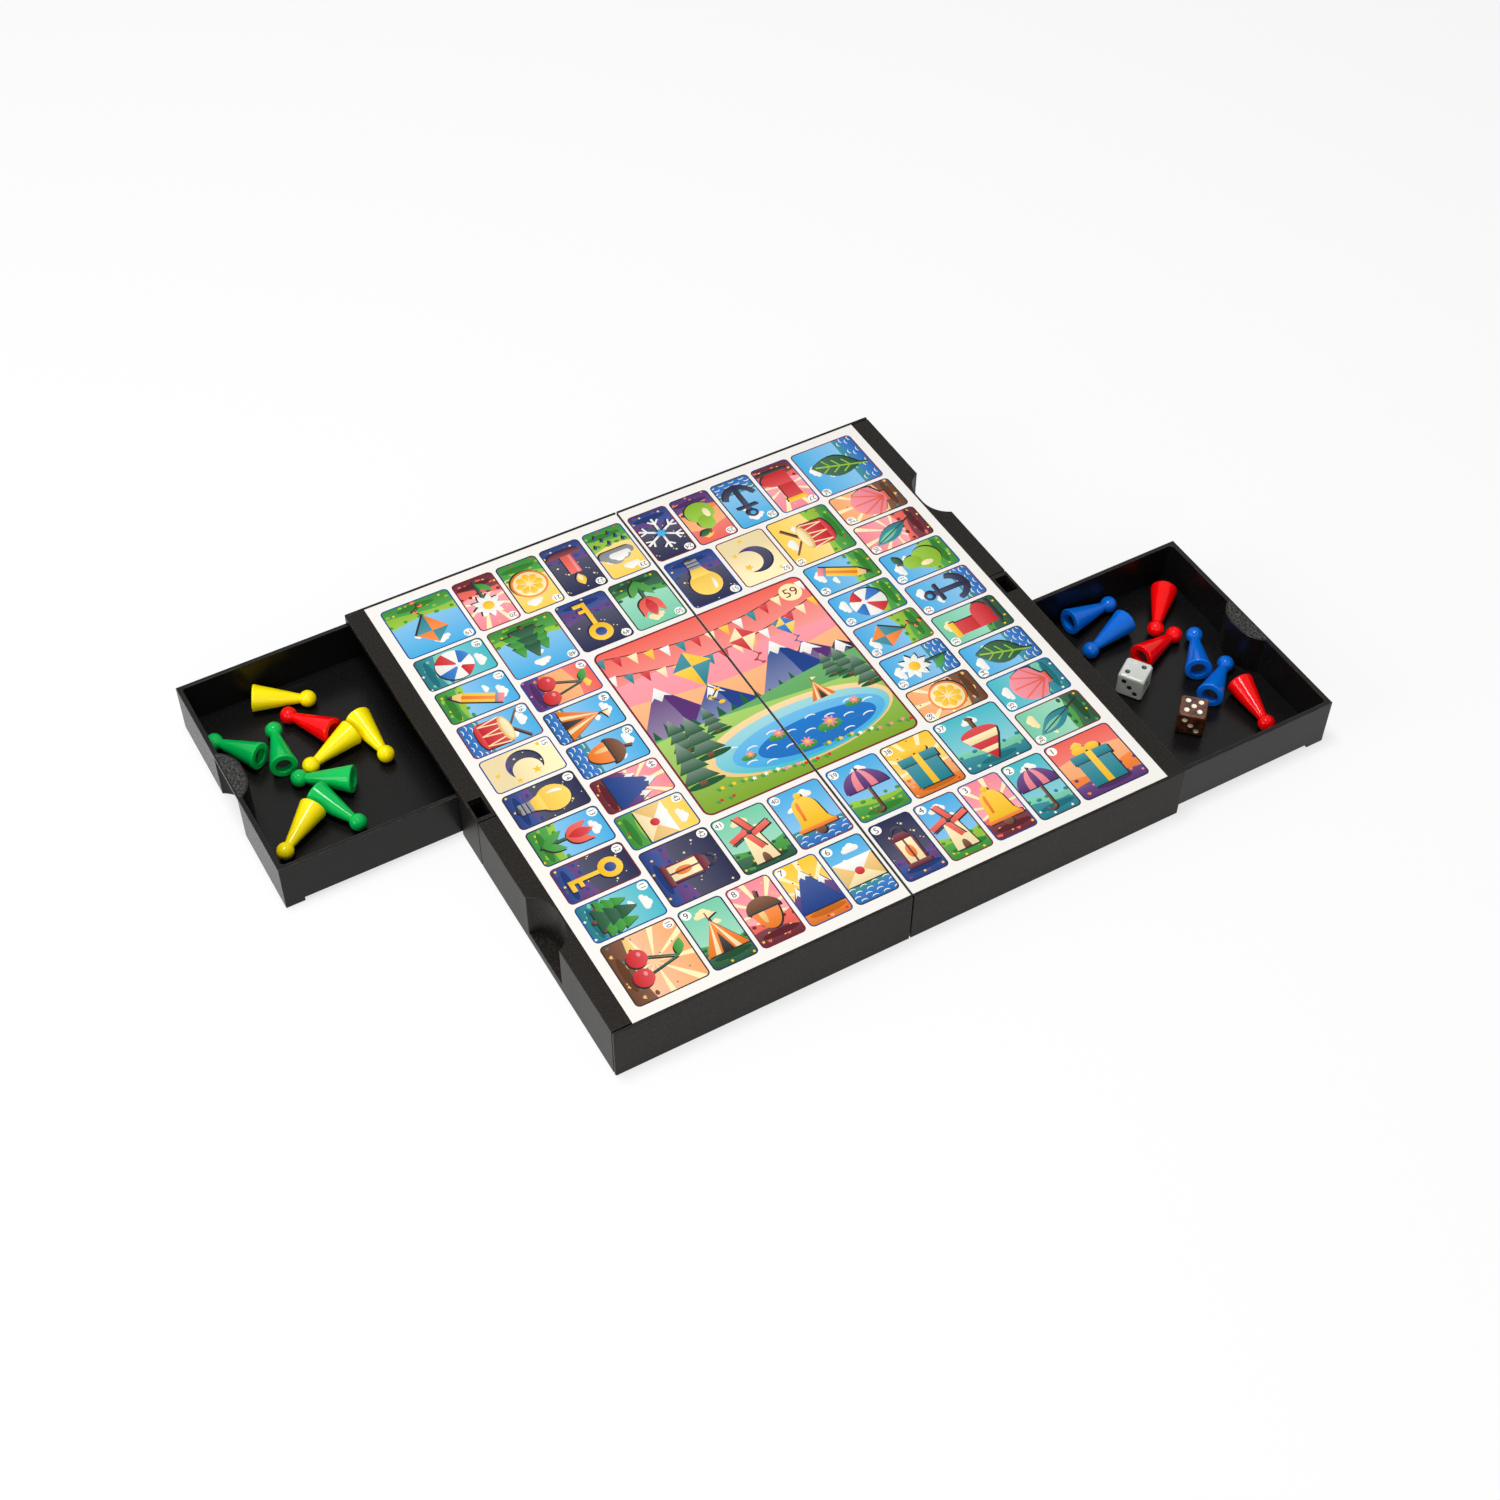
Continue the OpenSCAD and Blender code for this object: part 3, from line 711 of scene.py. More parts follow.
def citrusPicture(lay, main, accent):
    lay(disc(0, 0, 6.6, 28), main)
    lay(disc(0, 0, 5.8, 26), "cream")
    for i in range(8):
        lay(turned(arc(0, 1, 1.9, 4, 40, 140, 6) + [(0, 0.8)], 45 * i), accent)


def umbrellaPicture(lay, main, accent):
    lay(rect(-0.4, -8, 0.4, 3), "brown")
    lay(arc(-1.4, -8, 1.8, 1.8, 180, 360, 10) + arc(-1.4, -8, 1, 1, 360, 180, 10), "brown")
    for wide, steps, tone in ((7.4, 22, main), (3.8, 18, accent), (1.3, 12, main)):
        lay(arc(0, 0.6, wide, 7.6, 0, 180, steps), tone)
    lay(rect(-0.3, 8, 0.3, 9.4), "dark")


def pinesPicture(lay, main, accent):
    for cx, foot, size, tone in ((-4, -6, 0.8, accent), (4.2, -6.4, 0.85, accent), (0, -8, 1.1, main)):
        lay(rect(cx - 0.7, foot - 1.2, cx + 0.7, foot + 1), "brown")
        layPine(lay, cx, foot, size, tone, ((0, 4.4), (3.4, 3.6), (6.8, 2.7)), 6)


# each picture with its main ink and its accent, in the order of their use
pictures = [
    (topPicture, "red", "cream"), (pearPicture, "lime", "cream"), (kitePicture, "orange", "teal"),
    (tulipPicture, "coral", "red"), (peaksPicture, "deep", "plum"), (giftPicture, "teal", "yellow"),
    (anchorPicture, "navy", "sky"), (daisyPicture, "white", "yellow"), (bulbPicture, "butter", "grey"),
    (acornPicture, "orange", "sand"), (umbrellaPicture, "plum", "pink"), (bootPicture, "red", "yellow"),
    (citrusPicture, "orange", "yellow"), (moonPicture, "cream", "yellow"), (tentPicture, "orange", "cream"),
    (bellPicture, "yellow", "orange"), (leafPicture, "pine", "lime"), (candlePicture, "coral", "maroon"),
    (drumPicture, "red", "sand"), (cherryPicture, "red", "pink"), (windmillPicture, "cream", "coral"),
    (shellPicture, "pink", "coral"), (rainPicture, "grey", "deep"), (pencilPicture, "yellow", "orange"),
    (pinesPicture, "pine", "green"), (lanternPicture, "maroon", "orange"), (featherPicture, "teal", "mint"),
    (snowPicture, "white", "sky"), (ballPicture, "red", "blue"), (keyPicture, "yellow", "deep"),
    (envelopePicture, "sand", "cream"),
]
# each ground: air, far hill, near hill, light, blooms
grounds = {
    "sky": ("sky", "lime", "green", "white", "yellow"),
    "dusk": ("coral", "orange", "plum", "butter", "pink"),
    "field": ("butter", "lime", "green", "white", "red"),
    "wood": ("mint", "green", "pine", "cream", "yellow"),
    "ice": ("aqua", "mint", "teal", "white", "white"),
    "night": ("navy", "plum", "deep", "cream", "butter"),
    "sea": ("sky", "teal", "blue", "white", "cream"),
    "sun": ("yellow", "peach", "orange", "cream", "red"),
    "berry": ("pink", "coral", "maroon", "cream", "butter"),
    "plain": ("peach", "sand", "brown", "cream", "teal"),
}
groundOrder = ["sky", "sun", "wood", "sea", "field", "ice", "dusk", "sky", "berry", "sea", "field", "plain"]
nightPictures = (moonPicture, candlePicture, bulbPicture, lanternPicture, snowPicture, keyPicture)


def groundFor(picture, index):
    if picture in nightPictures:
        return "night"
    return groundOrder[(index * 7 + len(picture.__name__)) % len(groundOrder)]


def strewn(index, count):
    # evenly strewn places from -1 to 1, the same at each run
    return [((index * 0.37 + i * 0.618) % 1 * 2 - 1, (index * 0.71 + i * 0.755) % 1 * 2 - 1)
            for i in range(count)]


def layTuft(lay, x, y, size, ink):
    for lean in (-30, 0, 28):
        lay(leafAt(2.4 * size, 0.8 * size, x, y, lean, 4), ink)


def laySky(lay, kind, index, halfW, halfH):
    light = grounds[kind][3]
    swing = math.sin(index * 1.7)
    if kind == "night":
        for i, (x, y) in enumerate(strewn(index, 14)):
            tall = halfH * (0.3 + 0.65 * y)
            lay(starShape(x * halfW * 0.94, tall, 0.75, 0.3, 4) if i % 3 == 0
                else disc(x * halfW * 0.94, tall, 0.28, 6), light, evenInk)
    elif kind in ("sun", "berry", "plain"):
        for i in range(9):
            lay(turned([(0, 0), (2.4, 32), (-2.4, 32)], 40 * i + index * 11), light, evenInk)
        for x, y in strewn(index, 9):
            lay(disc(x * halfW * 0.9, y * halfH * 0.9, 0.4, 8), grounds[kind][4])
    elif kind == "dusk":
        lay(hillShape(-halfW - 1, halfW + 1, -halfH, halfH * 0.34, 1.6), "peach")
        lay(moved(cloudShape(1.2), -swing * 3, halfH * 0.66), light)
    else:
        lay(moved(cloudShape(1.7), -swing * 2.6, halfH * 0.64), light, (0.86, 1.0))
        lay(moved(cloudShape(1.0), swing * halfW * 0.5, halfH * 0.3), light, (0.9, 1.0))


def layGround(lay, kind, index, halfW, halfH):
    air, far, near, light, bloom = grounds[kind]
    w, h = halfW + 1, halfH + 1
    swing = 1.2 * math.sin(index * 1.7)
    lay(rect(-w, -h, w, h), air, (1.1, 0.85) if kind == "night" else airInk)
    laySky(lay, kind, index, halfW, halfH)
    if kind == "sea":
        lay(rect(-w, -h, w, -halfH * 0.38), far, hillInk)
        lay(hillShape(-w, w, -h, -halfH * 0.56 + swing * 0.4, 0.8), near, hillInk)
        for row in range(4):
            y = -halfH * 0.46 - row * 2.1
            for i in range(4):
                x = -halfW * 0.8 + i * halfW * 0.52 + (row % 2) * 1.8
                lay(waveShape(x, y - 0.9, 1.5, 0.9, 0.4, 5), light)
        return
    lay(hillShape(-w, w, -h, -halfH * 0.28 + swing, 1.7), far, hillInk)
    for i in range(5):
        x = -halfW * 0.9 + i * halfW * 0.45 + swing
        y = -halfH * 0.34 + 0.5 * math.sin(i * 2 + index)
        lay(oval(x, y, 0.9 + 0.35 * (i % 3), 0.9, 10), near, hillInk)
    lay(hillShape(-w, w, -h, -halfH * 0.5 - swing, -1.5), near, hillInk)
    for i, (x, y) in enumerate(strewn(index, 9)):
        place = (x * halfW * 0.92, -halfH * 0.78 + y * halfH * 0.17)
        if i % 2 == 0:
            layTuft(lay, *place, 0.75, far)
        else:
            lay(starShape(*place, 0.75, 0.4, 5), bloom, evenInk)


# Track: two laps of spaces round a middle field, clockwise from the front right corner

track = {"reach": 118.6, "outerDepth": 32.0, "innerDepth": 30.8, "lapGap": 2.2, "gap": 1.7, "foldGap": 3.4,
         "outerCount": (8, 8), "innerCount": (4, 5), "corner": 2.2, "line": 0.6, "steps": 5, "tagR": 2.2,
         "tagInset": 0.8, "figure": 2.9, "smallFigure": 0.82, "figureStep": 0.72, "fill": (15.4, 23.2),
         "drop": -0.4, "shadow": (0.5, -0.5), "shadowInk": (0.7, 0.9), "footShade": (0.5, -8.6, 6.4, 1.3),
         "footInk": (0.5, 0.6)}
borderInks = ("maroon", "navy", "dark", "deep")


def lapSpaces(reach, depth, counts):
    # counts: spaces between the corners on the sides that the fold cuts, and on the other two
    spaces = []
    run, middle = 2 * (reach - depth), reach - depth / 2
    for side in range(4):
        def add(s, width):
            spaces.append({"at": turned([(s, -middle)], -90 * side)[0], "turn": -90 * side,
                           "w": width, "h": depth})
        count = counts[side % 2]
        fold = track["gap"] if side % 2 else track["foldGap"]
        width = (run - count * track["gap"] - fold) / count
        add(middle, depth)
        s = reach - depth - track["gap"] - width / 2
        for i in range(count):
            if i == count // 2:
                s -= fold - track["gap"]
            add(s, width)
            s -= width + track["gap"]
    return spaces


def figureTriangles():
    # outlines of the ten figures from the built-in font, one unit high
    found, sliver = {}, 1e-5
    for figure in "0123456789":
        curve = bpy.data.curves.new("figure", "FONT")
        curve.body = figure
        curve.resolution_u = 3
        curve.align_x = "CENTER"
        holder = addObject("figure", curve)
        bpy.context.view_layer.update()
        mesh = bpy.data.meshes.new_from_object(holder.evaluated_get(bpy.context.evaluated_depsgraph_get()))
        mesh.calc_loop_triangles()
        tall = max(v.co.y for v in mesh.vertices)
        flat = [(v.co.x / tall, v.co.y / tall) for v in mesh.vertices]
        found[figure] = [[flat[i] for i in t.vertices] for t in mesh.loop_triangles if t.area > sliver]
        bpy.data.objects.remove(holder)
        bpy.data.curves.remove(curve)
        bpy.data.meshes.remove(mesh)
    return found


figures = figureTriangles()


def layNumber(lay, number, cx, cy, tall, ink):
    text = str(number)
    for i, figure in enumerate(text):
        x = cx + (i - (len(text) - 1) / 2) * tall * track["figureStep"]
        for triangle in figures[figure]:
            lay([(x + px * tall, cy + (py - 0.5) * tall) for px, py in triangle], ink, evenInk)


def shifted(lay, dx, dy, grow):
    def layMoved(points, ink, run=softInk):
        lay(moved(points, dx, dy, grow), ink, run)
    return layMoved


def framed(halfW, halfH, look, border):
    # each shape is its points in the space's own millimetres, its ink, whether the window clips it, and
    # how its ink runs: first the border and the white window, then what is laid in the window
    corner, line, steps = look["corner"], look["line"], look["steps"]
    shapes = [(roundRect(halfW, halfH, corner, steps), border, False, evenInk),
              (roundRect(halfW - line, halfH - line, corner - line, steps), "white", False, evenInk)]
    def lay(points, ink, run=softInk):
        shapes.append((points, ink, True, run))
    return shapes, lay


def spaceShapes(space, number):
    halfW, halfH = space["w"] / 2, space["h"] / 2
    count = len(pictures)
    picture, main, accent = pictures[(number * 5 + number // count) % count]
    shapes, lay = framed(halfW, halfH, track, borderInks[number % len(borderInks)])
    kind = groundFor(picture, number)
    layGround(lay, kind, number, halfW, halfH)
    size = min(space["w"] / track["fill"][0], space["h"] / track["fill"][1])
    layPicture = shifted(lay, 0, track["drop"], size)
    if kind != "sea":
        layPicture(oval(*track["footShade"], 18), grounds[kind][2], track["footInk"])
    def layShadow(points, ink, run=softInk):
        layPicture(moved(points, *track["shadow"]), "navy" if kind == "night" else "dark", track["shadowInk"])
    picture(layShadow, main, accent)
    picture(layPicture, main, accent)
    inset = track["tagR"] + track["tagInset"]
    tagX, tagY = inset - halfW, halfH - inset
    lay(disc(tagX, tagY, track["tagR"], 18), "white", evenInk)
    tall = track["figure"] * (1 if number < 10 else track["smallFigure"])
    layNumber(lay, number, tagX, tagY, tall, "dark")
    return shapes


# Middle field: a pond between hills, with kites and strings of flags over it

field = {
    "gap": 2.8, "corner": 4.0, "line": 0.9, "steps": 8, "tagInset": 8, "tagR": 5.2, "figure": 5.0,
    "skyFoot": -12, "mountainFoot": -8, "woodFoot": -6,
    "strings": ((47, 8), (36, 9)),  # height, sag
    "flags": (14, 7, 2.3, 6.2),  # gaps on a string, width of a gap, half width, length
    "mountains": ((-36, 22, 21, "plum"), (32, 15, 24, "plum"), (-15, 13, 19, "deep"), (20, 22, 20, "deep"),
                  (45, 9, 18, "navy")),  # middle, top, half width, ink
    "lilies": ((-4, -27, 1.0), (18, -32, 1.3), (33, -26, 0.9), (4, -37, 1.1), (-20, -31, 0.8)),
    "pines": ((-40, -14, 1.5), (-24, -11, 1.2), (41, -10, 1.4), (35, -7, 1.1), (-33, -20, 1.9),
              (-43, -32, 2.0), (46, -18, 1.5)),
    "kites": ((-16, 19, 1.7, "yellow", "teal"), (11, 25, 1.2, "red", "cream"),
              (31, 24, 0.9, "blue", "butter")),
    "tent": (24, -12, 0.8),
}


def layFlags(lay):
    tones = ("yellow", "white", "teal", "red", "cream")
    count, gap, wide, long = field["flags"]
    for high, sag in field["strings"]:
        string = [((i - count / 2) * gap, high - sag * math.sin(math.pi * i / count))
                  for i in range(count + 1)]
        for (x0, y0), (x1, y1) in zip(string, string[1:]):
            lay(bar(x0, y0, x1, y1, 0.5), "dark", evenInk)
        for i, (x, y) in enumerate(string):
            lay([(x - wide, y), (x, y - long), (x + wide, y)], tones[(i + high) % len(tones)])


def layMountains(lay):
    foot = field["mountainFoot"]
    for cx, top, wide, tone in field["mountains"]:
        lay([(cx - wide, foot), (cx + wide, foot), (cx, top)], tone, (1.2, 0.9))
        lay([(cx, top), (cx + wide, foot), (cx + wide * 0.2, foot), (cx + wide * 0.12, top * 0.3)],
            tone, (0.9, 0.7))
        lay([(cx, top), (cx + wide * 0.24, top - 7.4), (cx + 2, top - 5.6), (cx - 0.6, top - 8.6),
             (cx - 2.6, top - 5.4), (cx - wide * 0.24, top - 7.4)], "white")


def layHills(lay, edge):
    foot = field["woodFoot"]
    for i in range(17):
        x = -48 + i * 6
        lay([(x - 2, foot), (x + 2, foot), (x, 0.5 + 2.4 * math.sin(i * 1.9))], "pine", (0.9, 1.0))
    lay(hillShape(-edge, edge, -edge, -2.5, 3.4), "green", (0.8, 1.1))
    lay(hillShape(-edge, edge, -edge, -8.5, -3.0), "lime", (0.62, 1.12))


def layPond(lay):
    lay(oval(6, -28, 44, 17, 44), "sand", (0.9, 1.2))
    lay(oval(7, -29, 41, 15, 44), "aqua", (1.0, 1.3))
    lay(oval(9, -30.5, 36, 12, 40), "sky", (0.9, 1.1))
    lay(oval(12, -32, 28, 8.6, 40), "blue", (0.8, 1.0))
    for i in range(18):
        x, y = -24 + 3.7 * i, -23 - 3.4 * (i * 3 % 5)
        lay(waveShape(x, y - 1.2, 2.6, 1.3, 0.6, 6), "white")
    for cx, cy, size in field["lilies"]:
        lay(oval(cx, cy, 4.4 * size, 2.0 * size, 20), "green", hillInk)
        lay(starShape(cx + 1, cy + 1.4 * size, 2.8 * size, 1.4 * size, 8), "pink")
        lay(disc(cx + 1, cy + 1.4 * size, 0.8 * size, 10), "yellow")


def layMeadow(lay, half):
    for cx, foot, size in field["pines"]:
        lay(oval(cx + 1, foot - 1.4 * size, 4.4 * size, 0.9 * size, 16), "pine", (0.7, 0.8))
        lay(rect(cx - 0.8 * size, foot - 1.6 * size, cx + 0.8 * size, foot), "brown")
        layPine(lay, cx, foot, size, "pine", ((-0.4, 4.2), (2.8, 3.4), (5.8, 2.5)), 5.6, (0.8, 1.25))
    blooms = ("red", "yellow", "white", "pink")
    for i, (x, y) in enumerate(strewn(3, 22)):
        cx, cy = x * half * 0.94, -half * 0.88 + y * 3.4
        layTuft(lay, cx, cy, 1.1, "green")
        lay(starShape(cx + 1.6, cy + 1.4, 1.2, 0.6, 5), blooms[i % len(blooms)], evenInk)


def fieldShapes(half, number):
    shapes, lay = framed(half, half, field, "maroon")
    edge, foot = half + 1, field["skyFoot"]
    lay(rect(-edge, foot, edge, edge), "coral", (1.45, 0.96))
    for top, tone in ((26, "pink"), (15, "peach")):
        lay(hillShape(-edge, edge, foot, top, 4.0), tone, (0.95, 1.1))
    layFlags(lay)
    layMountains(lay)
    layHills(lay, edge)
    layPond(lay)
    layMeadow(lay, half)
    for cx, cy, size, main, accent in field["kites"]:
        kitePicture(shifted(lay, cx, cy, size), main, accent)
    tentPicture(shifted(lay, *field["tent"]), "orange", "cream")
    tag = half - field["tagInset"]
    lay(disc(tag, tag, field["tagR"], 28), "cream", evenInk)
    layNumber(lay, number, tag, tag, field["figure"], "maroon")
    return shapes


def boardShapes():
    # for each space, and last for the middle field: its shapes, its place on the board and its turn
    innerReach = track["reach"] - track["outerDepth"] - track["lapGap"]
    spaces = lapSpaces(track["reach"], track["outerDepth"], track["outerCount"])
    spaces += lapSpaces(innerReach, track["innerDepth"], track["innerCount"])
    placed = [(spaceShapes(space, i + 1), space["at"], space["turn"]) for i, space in enumerate(spaces)]
    half = innerReach - track["innerDepth"] - field["gap"]
    placed.append((fieldShapes(half, len(spaces) + 1), (0.0, 0.0), 0))
    return placed


# Printed sheets

def anticlockwise(points):
    area = sum(x0 * y1 - x1 * y0 for (x0, y0), (x1, y1) in zip(points, points[1:] + points[:1]))
    return points if area > 0 else points[::-1]


def inkAt(run, x, y):
    # a shape's ink at a place on the board, between its foot and its top
    turn = math.radians(run["turn"])
    height = (y - run["at"][1]) * math.cos(turn) - (x - run["at"][0]) * math.sin(turn)
    share = min(max((height - run["low"]) / run["tall"], 0.0), 1.0)
    return [low + (high - low) * share for low, high in zip(run["foot"], run["top"])]


# where the sheet's faces lie across its map: printed top, walls, bare under face
sheetMap = {"edge": 0.01, "long": 0.98, "top": 0.88, "wall": 0.91, "wallWide": 0.01, "under": 0.94,
            "underWide": 0.05}
cutSlack = 1e-4  # millimetres within which points of the print are one
bareCard = {"foot": paint("card", 1.0), "top": paint("card", 1.0), "low": 0.0, "tall": 1.0, "at": (0, 0),
            "turn": 0}


def cutPrint(low, high, placed):
    # the sheet's top cut along every outline of the print: points, triangles and how the ink of each runs
    verts, faces = rect(low.x, low.y, high.x, high.y), [[0, 1, 2, 3]]
    runs, window = [bareCard], [0]
    for shapes, (ax, ay), turn in placed:
        reach = max(math.hypot(x, y) for x, y in shapes[0][0])
        if ax + reach < low.x or ax - reach > high.x:
            continue
        frameFace = len(faces) + 1  # the second shape is the window
        for points, ink, clipped, (foot, peak) in shapes:
            ring = anticlockwise(moved(turned(points, turn), ax, ay))
            faces.append(list(range(len(verts), len(verts) + len(ring))))
            verts.extend(ring)
            heights = [y for x, y in points]
            runs.append({"foot": paint(ink, foot), "top": paint(ink, peak), "low": min(heights),
                         "tall": max(heights) - min(heights) + 0.001, "at": (ax, ay), "turn": turn})
            window.append(frameFace if clipped else 0)
    cut = delaunay_2d_cdt([Vector(v) for v in verts], [], faces, 1, cutSlack)
    corners, triangles, sources = cut[0], cut[2], cut[5]
    kept, colours = [], []
    for triangle, source in zip(triangles, sources):
        held = set(source)
        if 0 in held:
            kept.append(triangle)
            colours.append(runs[max(i for i in held if window[i] in held)])
    used = sorted({i for triangle in kept for i in triangle})
    index = {old: new for new, old in enumerate(used)}
    points = [(corners[i].x * mm, corners[i].y * mm, high.z * mm) for i in used]
    return points, [tuple(index[i] for i in triangle) for triangle in kept], colours


def rimOf(triangles):
    # the points round the outside, in order
    sides = dict.fromkeys(pair for t in triangles for pair in zip(t, t[1:] + t[:1]))
    following = {a: b for a, b in sides if (b, a) not in sides}
    rim = [next(iter(following))]
    while following[rim[-1]] != rim[0]:
        rim.append(following[rim[-1]])
    return rim


def printedSheet(side, placed, material):
    # one flat, closed sheet with its ink at each corner of its faces
    low, high = (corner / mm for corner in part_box(side + "_print_sheet"))
    top, patches, colours = cutPrint(low, high, placed)
    rim = rimOf(patches)
    under = {old: len(top) + i for i, old in enumerate(rim)}
    walls = [(b, a, under[a], under[b]) for a, b in zip(rim, rim[1:] + rim[:1])]
    verts = top + [(top[i][0], top[i][1], low.z * mm) for i in rim]
    colours += [bareCard] * (len(walls) + 1)
    mesh = bpy.data.meshes.new(side + "_printed_sheet")
    mesh.from_pydata(verts, [], patches + walls + [tuple(under[i] for i in reversed(rim))])
    ink = mesh.color_attributes.new("ink", "FLOAT_COLOR", "CORNER")
    mapped = mesh.uv_layers.new(name="OFBake")
    for face in mesh.polygons:
        for step, corner in enumerate(face.loop_indices):
            x, y, z = (part / mm for part in verts[mesh.loops[corner].vertex_index])
            ink.data[corner].color = inkAt(colours[face.index], x, y)
            across, along = (x - low.x) / (high.x - low.x), (y - low.y) / (high.y - low.y)
            if face.index < len(patches):
                across = sheetMap["edge"] + sheetMap["top"] * across
            elif face.index < len(patches) + len(walls):
                across = sheetMap["wall"] + (sheetMap["wallWide"] if step < 2 else 0.0)
                along = (face.index - len(patches) + (step in (0, 3))) / len(walls)
            else:
                across = sheetMap["under"] + sheetMap["underWide"] * across
            mapped.data[corner].uv = (across, sheetMap["edge"] + sheetMap["long"] * along)
    mesh.materials.append(material)
    sheet = addObject(side + "_printed_sheet", mesh)
    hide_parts(side + "_print_sheet")
    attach(sheet, side + "_half")
    print("printed", side, "sheet:", len(patches), "patches")


cardLook = {"tooth": 0.45, "cloud": 30.0, "rub": (0.5, 30.0, 0.2, 0.27), "rubPatch": 35.0,
            "rubRamp": (0.45, 0.7), "dull": linear(120, 112, 104), "dullShares": (0.05, 0.03),
            "worn": linear(236, 232, 226), "rubTint": 0.25, "rubDepth": 0.5, "rough": (0.38, 0.12, 0.15),
            "bump": (0.25, 0.03), "gloss": 0.12}


def printedCard():
    material, w = newMaterial("printedCard")
    place = inMillimetres(w)
    ink = w.node("VertexColor", {"layer_name": "ink"}, None, "Color")
    tooth = noise(w, place, cardLook["tooth"], 3.0, 0.6)
    cloud = noise(w, place, cardLook["cloud"], 3.0)
    rubbed = noise(w, place, cardLook["rubPatch"]).ramp(*cardLook["rubRamp"])
    rub = scratches(w, place, *cardLook["rub"]) * rubbed
    byTooth, byCloud = cardLook["dullShares"]
    dull = (byTooth * tooth + byCloud * cloud).tint(ink, cardLook["dull"])
    least, cloudRough, rubRough = cardLook["rough"]
    surface(w, {"Base Color": (rub * cardLook["rubTint"]).tint(dull, cardLook["worn"]),
                "Roughness": (least + cloud * cloudRough + rub * rubRough).clamp(),
                "Normal": bumped(w, tooth - rub * cardLook["rubDepth"], *cardLook["bump"]),
                "Specular IOR Level": cardLook["gloss"]})
    return material


cardFinish = printedCard()
placedShapes = boardShapes()
for side in ("right", "left"):
    printedSheet(side, placedShapes, cardFinish)

# Hinge strip: one flat strip, divided finely across the fold

hinge = {"bends": 16, "runs": 4, "rows": 12}


def hingeStrip():
    low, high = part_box("hinge_strip")
    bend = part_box("right_base")[0].x  # the strip is divided finely only between the two halves
    xs = [low.x + (-bend - low.x) * i / hinge["runs"] for i in range(hinge["runs"])]
    xs += [-bend + 2 * bend * i / hinge["bends"] for i in range(hinge["bends"] + 1)]
    xs += [bend + (high.x - bend) * (i + 1) / hinge["runs"] for i in range(hinge["runs"])]
    ys = [low.y + (high.y - low.y) * i / hinge["rows"] for i in range(hinge["rows"] + 1)]
    # rings round the strip, from one end to the other: along its top and back along its under face
    ring = [(x, high.z) for x in xs] + [(x, low.z) for x in reversed(xs)]
    verts = [(x, y, z) for y in ys for x, z in ring]
    n, last = len(ring), len(verts) - len(ring)
    faces = [(a + i, a + (i + 1) % n, a + n + (i + 1) % n, a + n + i)
             for a in range(0, last, n) for i in range(n)]
    for i in range(len(xs) - 1):
        end = (n - 1 - i, n - 2 - i, i + 1, i)
        faces.append(end)
        faces.append(tuple(last + corner for corner in reversed(end)))
    mesh = bpy.data.meshes.new("hinge_cloth")
    mesh.from_pydata(verts, [], faces)
    mesh.materials.append(plainFinish("hingeCloth", clothLook, clothWeave))
    strip = addObject("hinge_cloth", mesh)
    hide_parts("hinge_strip")
    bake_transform(strip)


hingeStrip()
print("hinge strip made")

# Camera, floor and light

view = {"place": (-0.34092, -0.57969, 0.76091), "turnZ": -29.40972, "tiltX": 41.06119, "rollY": -0.61137,
        "lens": 56.907, "sensor": 36.0, "near": 0.01, "far": 20.0}


def setCamera():
    data = bpy.data.cameras.new("camera")
    data.lens = view["lens"]
    data.sensor_width = view["sensor"]
    data.sensor_fit = "HORIZONTAL"
    data.clip_start = view["near"]
    data.clip_end = view["far"]
    camera = addObject("camera", data)
    turn, tilt, roll = [Matrix.Rotation(math.radians(view[way]), 4, way[-1])
                        for way in ("turnZ", "tiltX", "rollY")]
    camera.matrix_world = Matrix.Translation(view["place"]) @ (turn @ tilt @ roll)
    bpy.context.scene.camera = camera


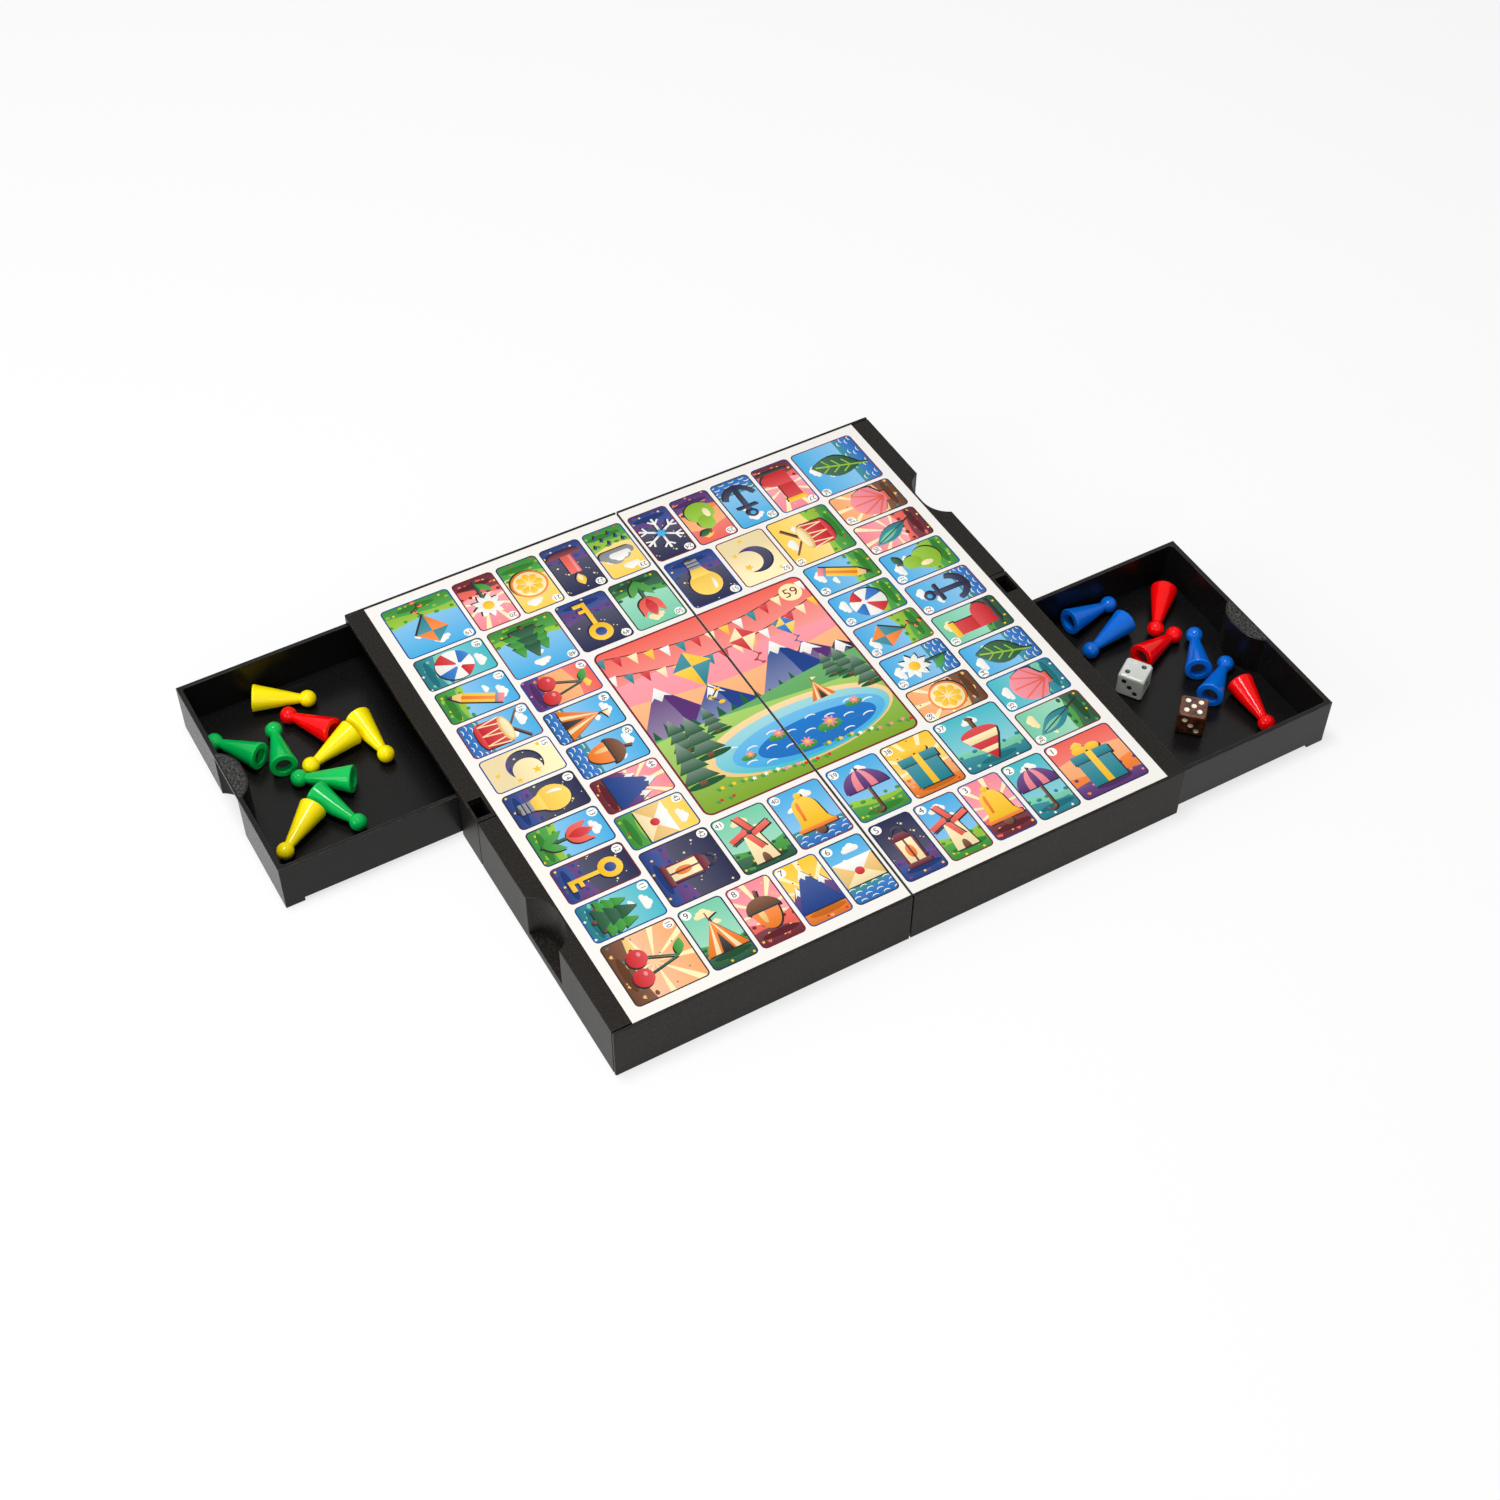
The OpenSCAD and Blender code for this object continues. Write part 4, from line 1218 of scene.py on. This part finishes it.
def seenRay(w):
    path = w.node("LightPath", out="Is Camera Ray")
    outs = path.socket.node.outputs
    return (path + Wire(w.tree, outs["Is Glossy Ray"]) + Wire(w.tree, outs["Is Transmission Ray"])).clamp()


floorLook = {"half": 3.0, "colour": linear(236, 236, 236), "lift": 0.72, "height": -0.0004}


def setFloor():
    half = floorLook["half"]
    mesh = bpy.data.meshes.new("floor")
    mesh.from_pydata([(x, y, 0) for x, y in rect(-half, -half, half, half)], [], [(0, 1, 2, 3)])
    material, w = newMaterial("floorPaper")
    paper = w.node("BsdfDiffuse", None, {"Color": floorLook["colour"]})
    glow = w.node("Emission", None, {"Color": white, "Strength": 1.0})
    mixed = w.node("MixShader", None, {0: seenRay(w) * floorLook["lift"], 1: paper, 2: glow})
    w.node("OutputMaterial", None, {"Surface": mixed})
    mesh.materials.append(material)
    floor = addObject("floor", mesh)
    floor.location.z = floorLook["height"]


skyLook = {"strength": 0.27}
lamps = {
    "key": {"at": (-0.25, 0.1, 1.9), "size": 0.55, "power": 25.5},
    "left": {"at": (-1.6, 0.0, 0.7), "size": 1.0, "power": 12.0},
    "fill": {"at": (-0.5, -1.4, 0.9), "size": 1.2, "power": 6.0},
}


def setLight():
    world = bpy.data.worlds.new("studio")
    bpy.context.scene.world = world
    world.use_nodes = True
    world.node_tree.nodes.clear()
    w = Wire(world.node_tree)
    dim = w.node("Background", None, {"Color": white, "Strength": skyLook["strength"]})
    bright = w.node("Background", None, {"Color": white, "Strength": 1.0})
    mixed = w.node("MixShader", None, {0: seenRay(w), 1: dim, 2: bright})
    w.node("OutputWorld", None, {"Surface": mixed})
    for name, lamp in lamps.items():
        data = bpy.data.lights.new(name, "AREA")
        data.shape = "DISK"
        data.size = lamp["size"]
        data.energy = lamp["power"]
        light = addObject(name, data)
        light.location = lamp["at"]
        light.rotation_euler = (-Vector(lamp["at"])).to_track_quat("-Z", "Y").to_euler()


setCamera()
setFloor()
setLight()
bpy.context.scene.view_settings.view_transform = "Standard"
print("camera, floor and light set")
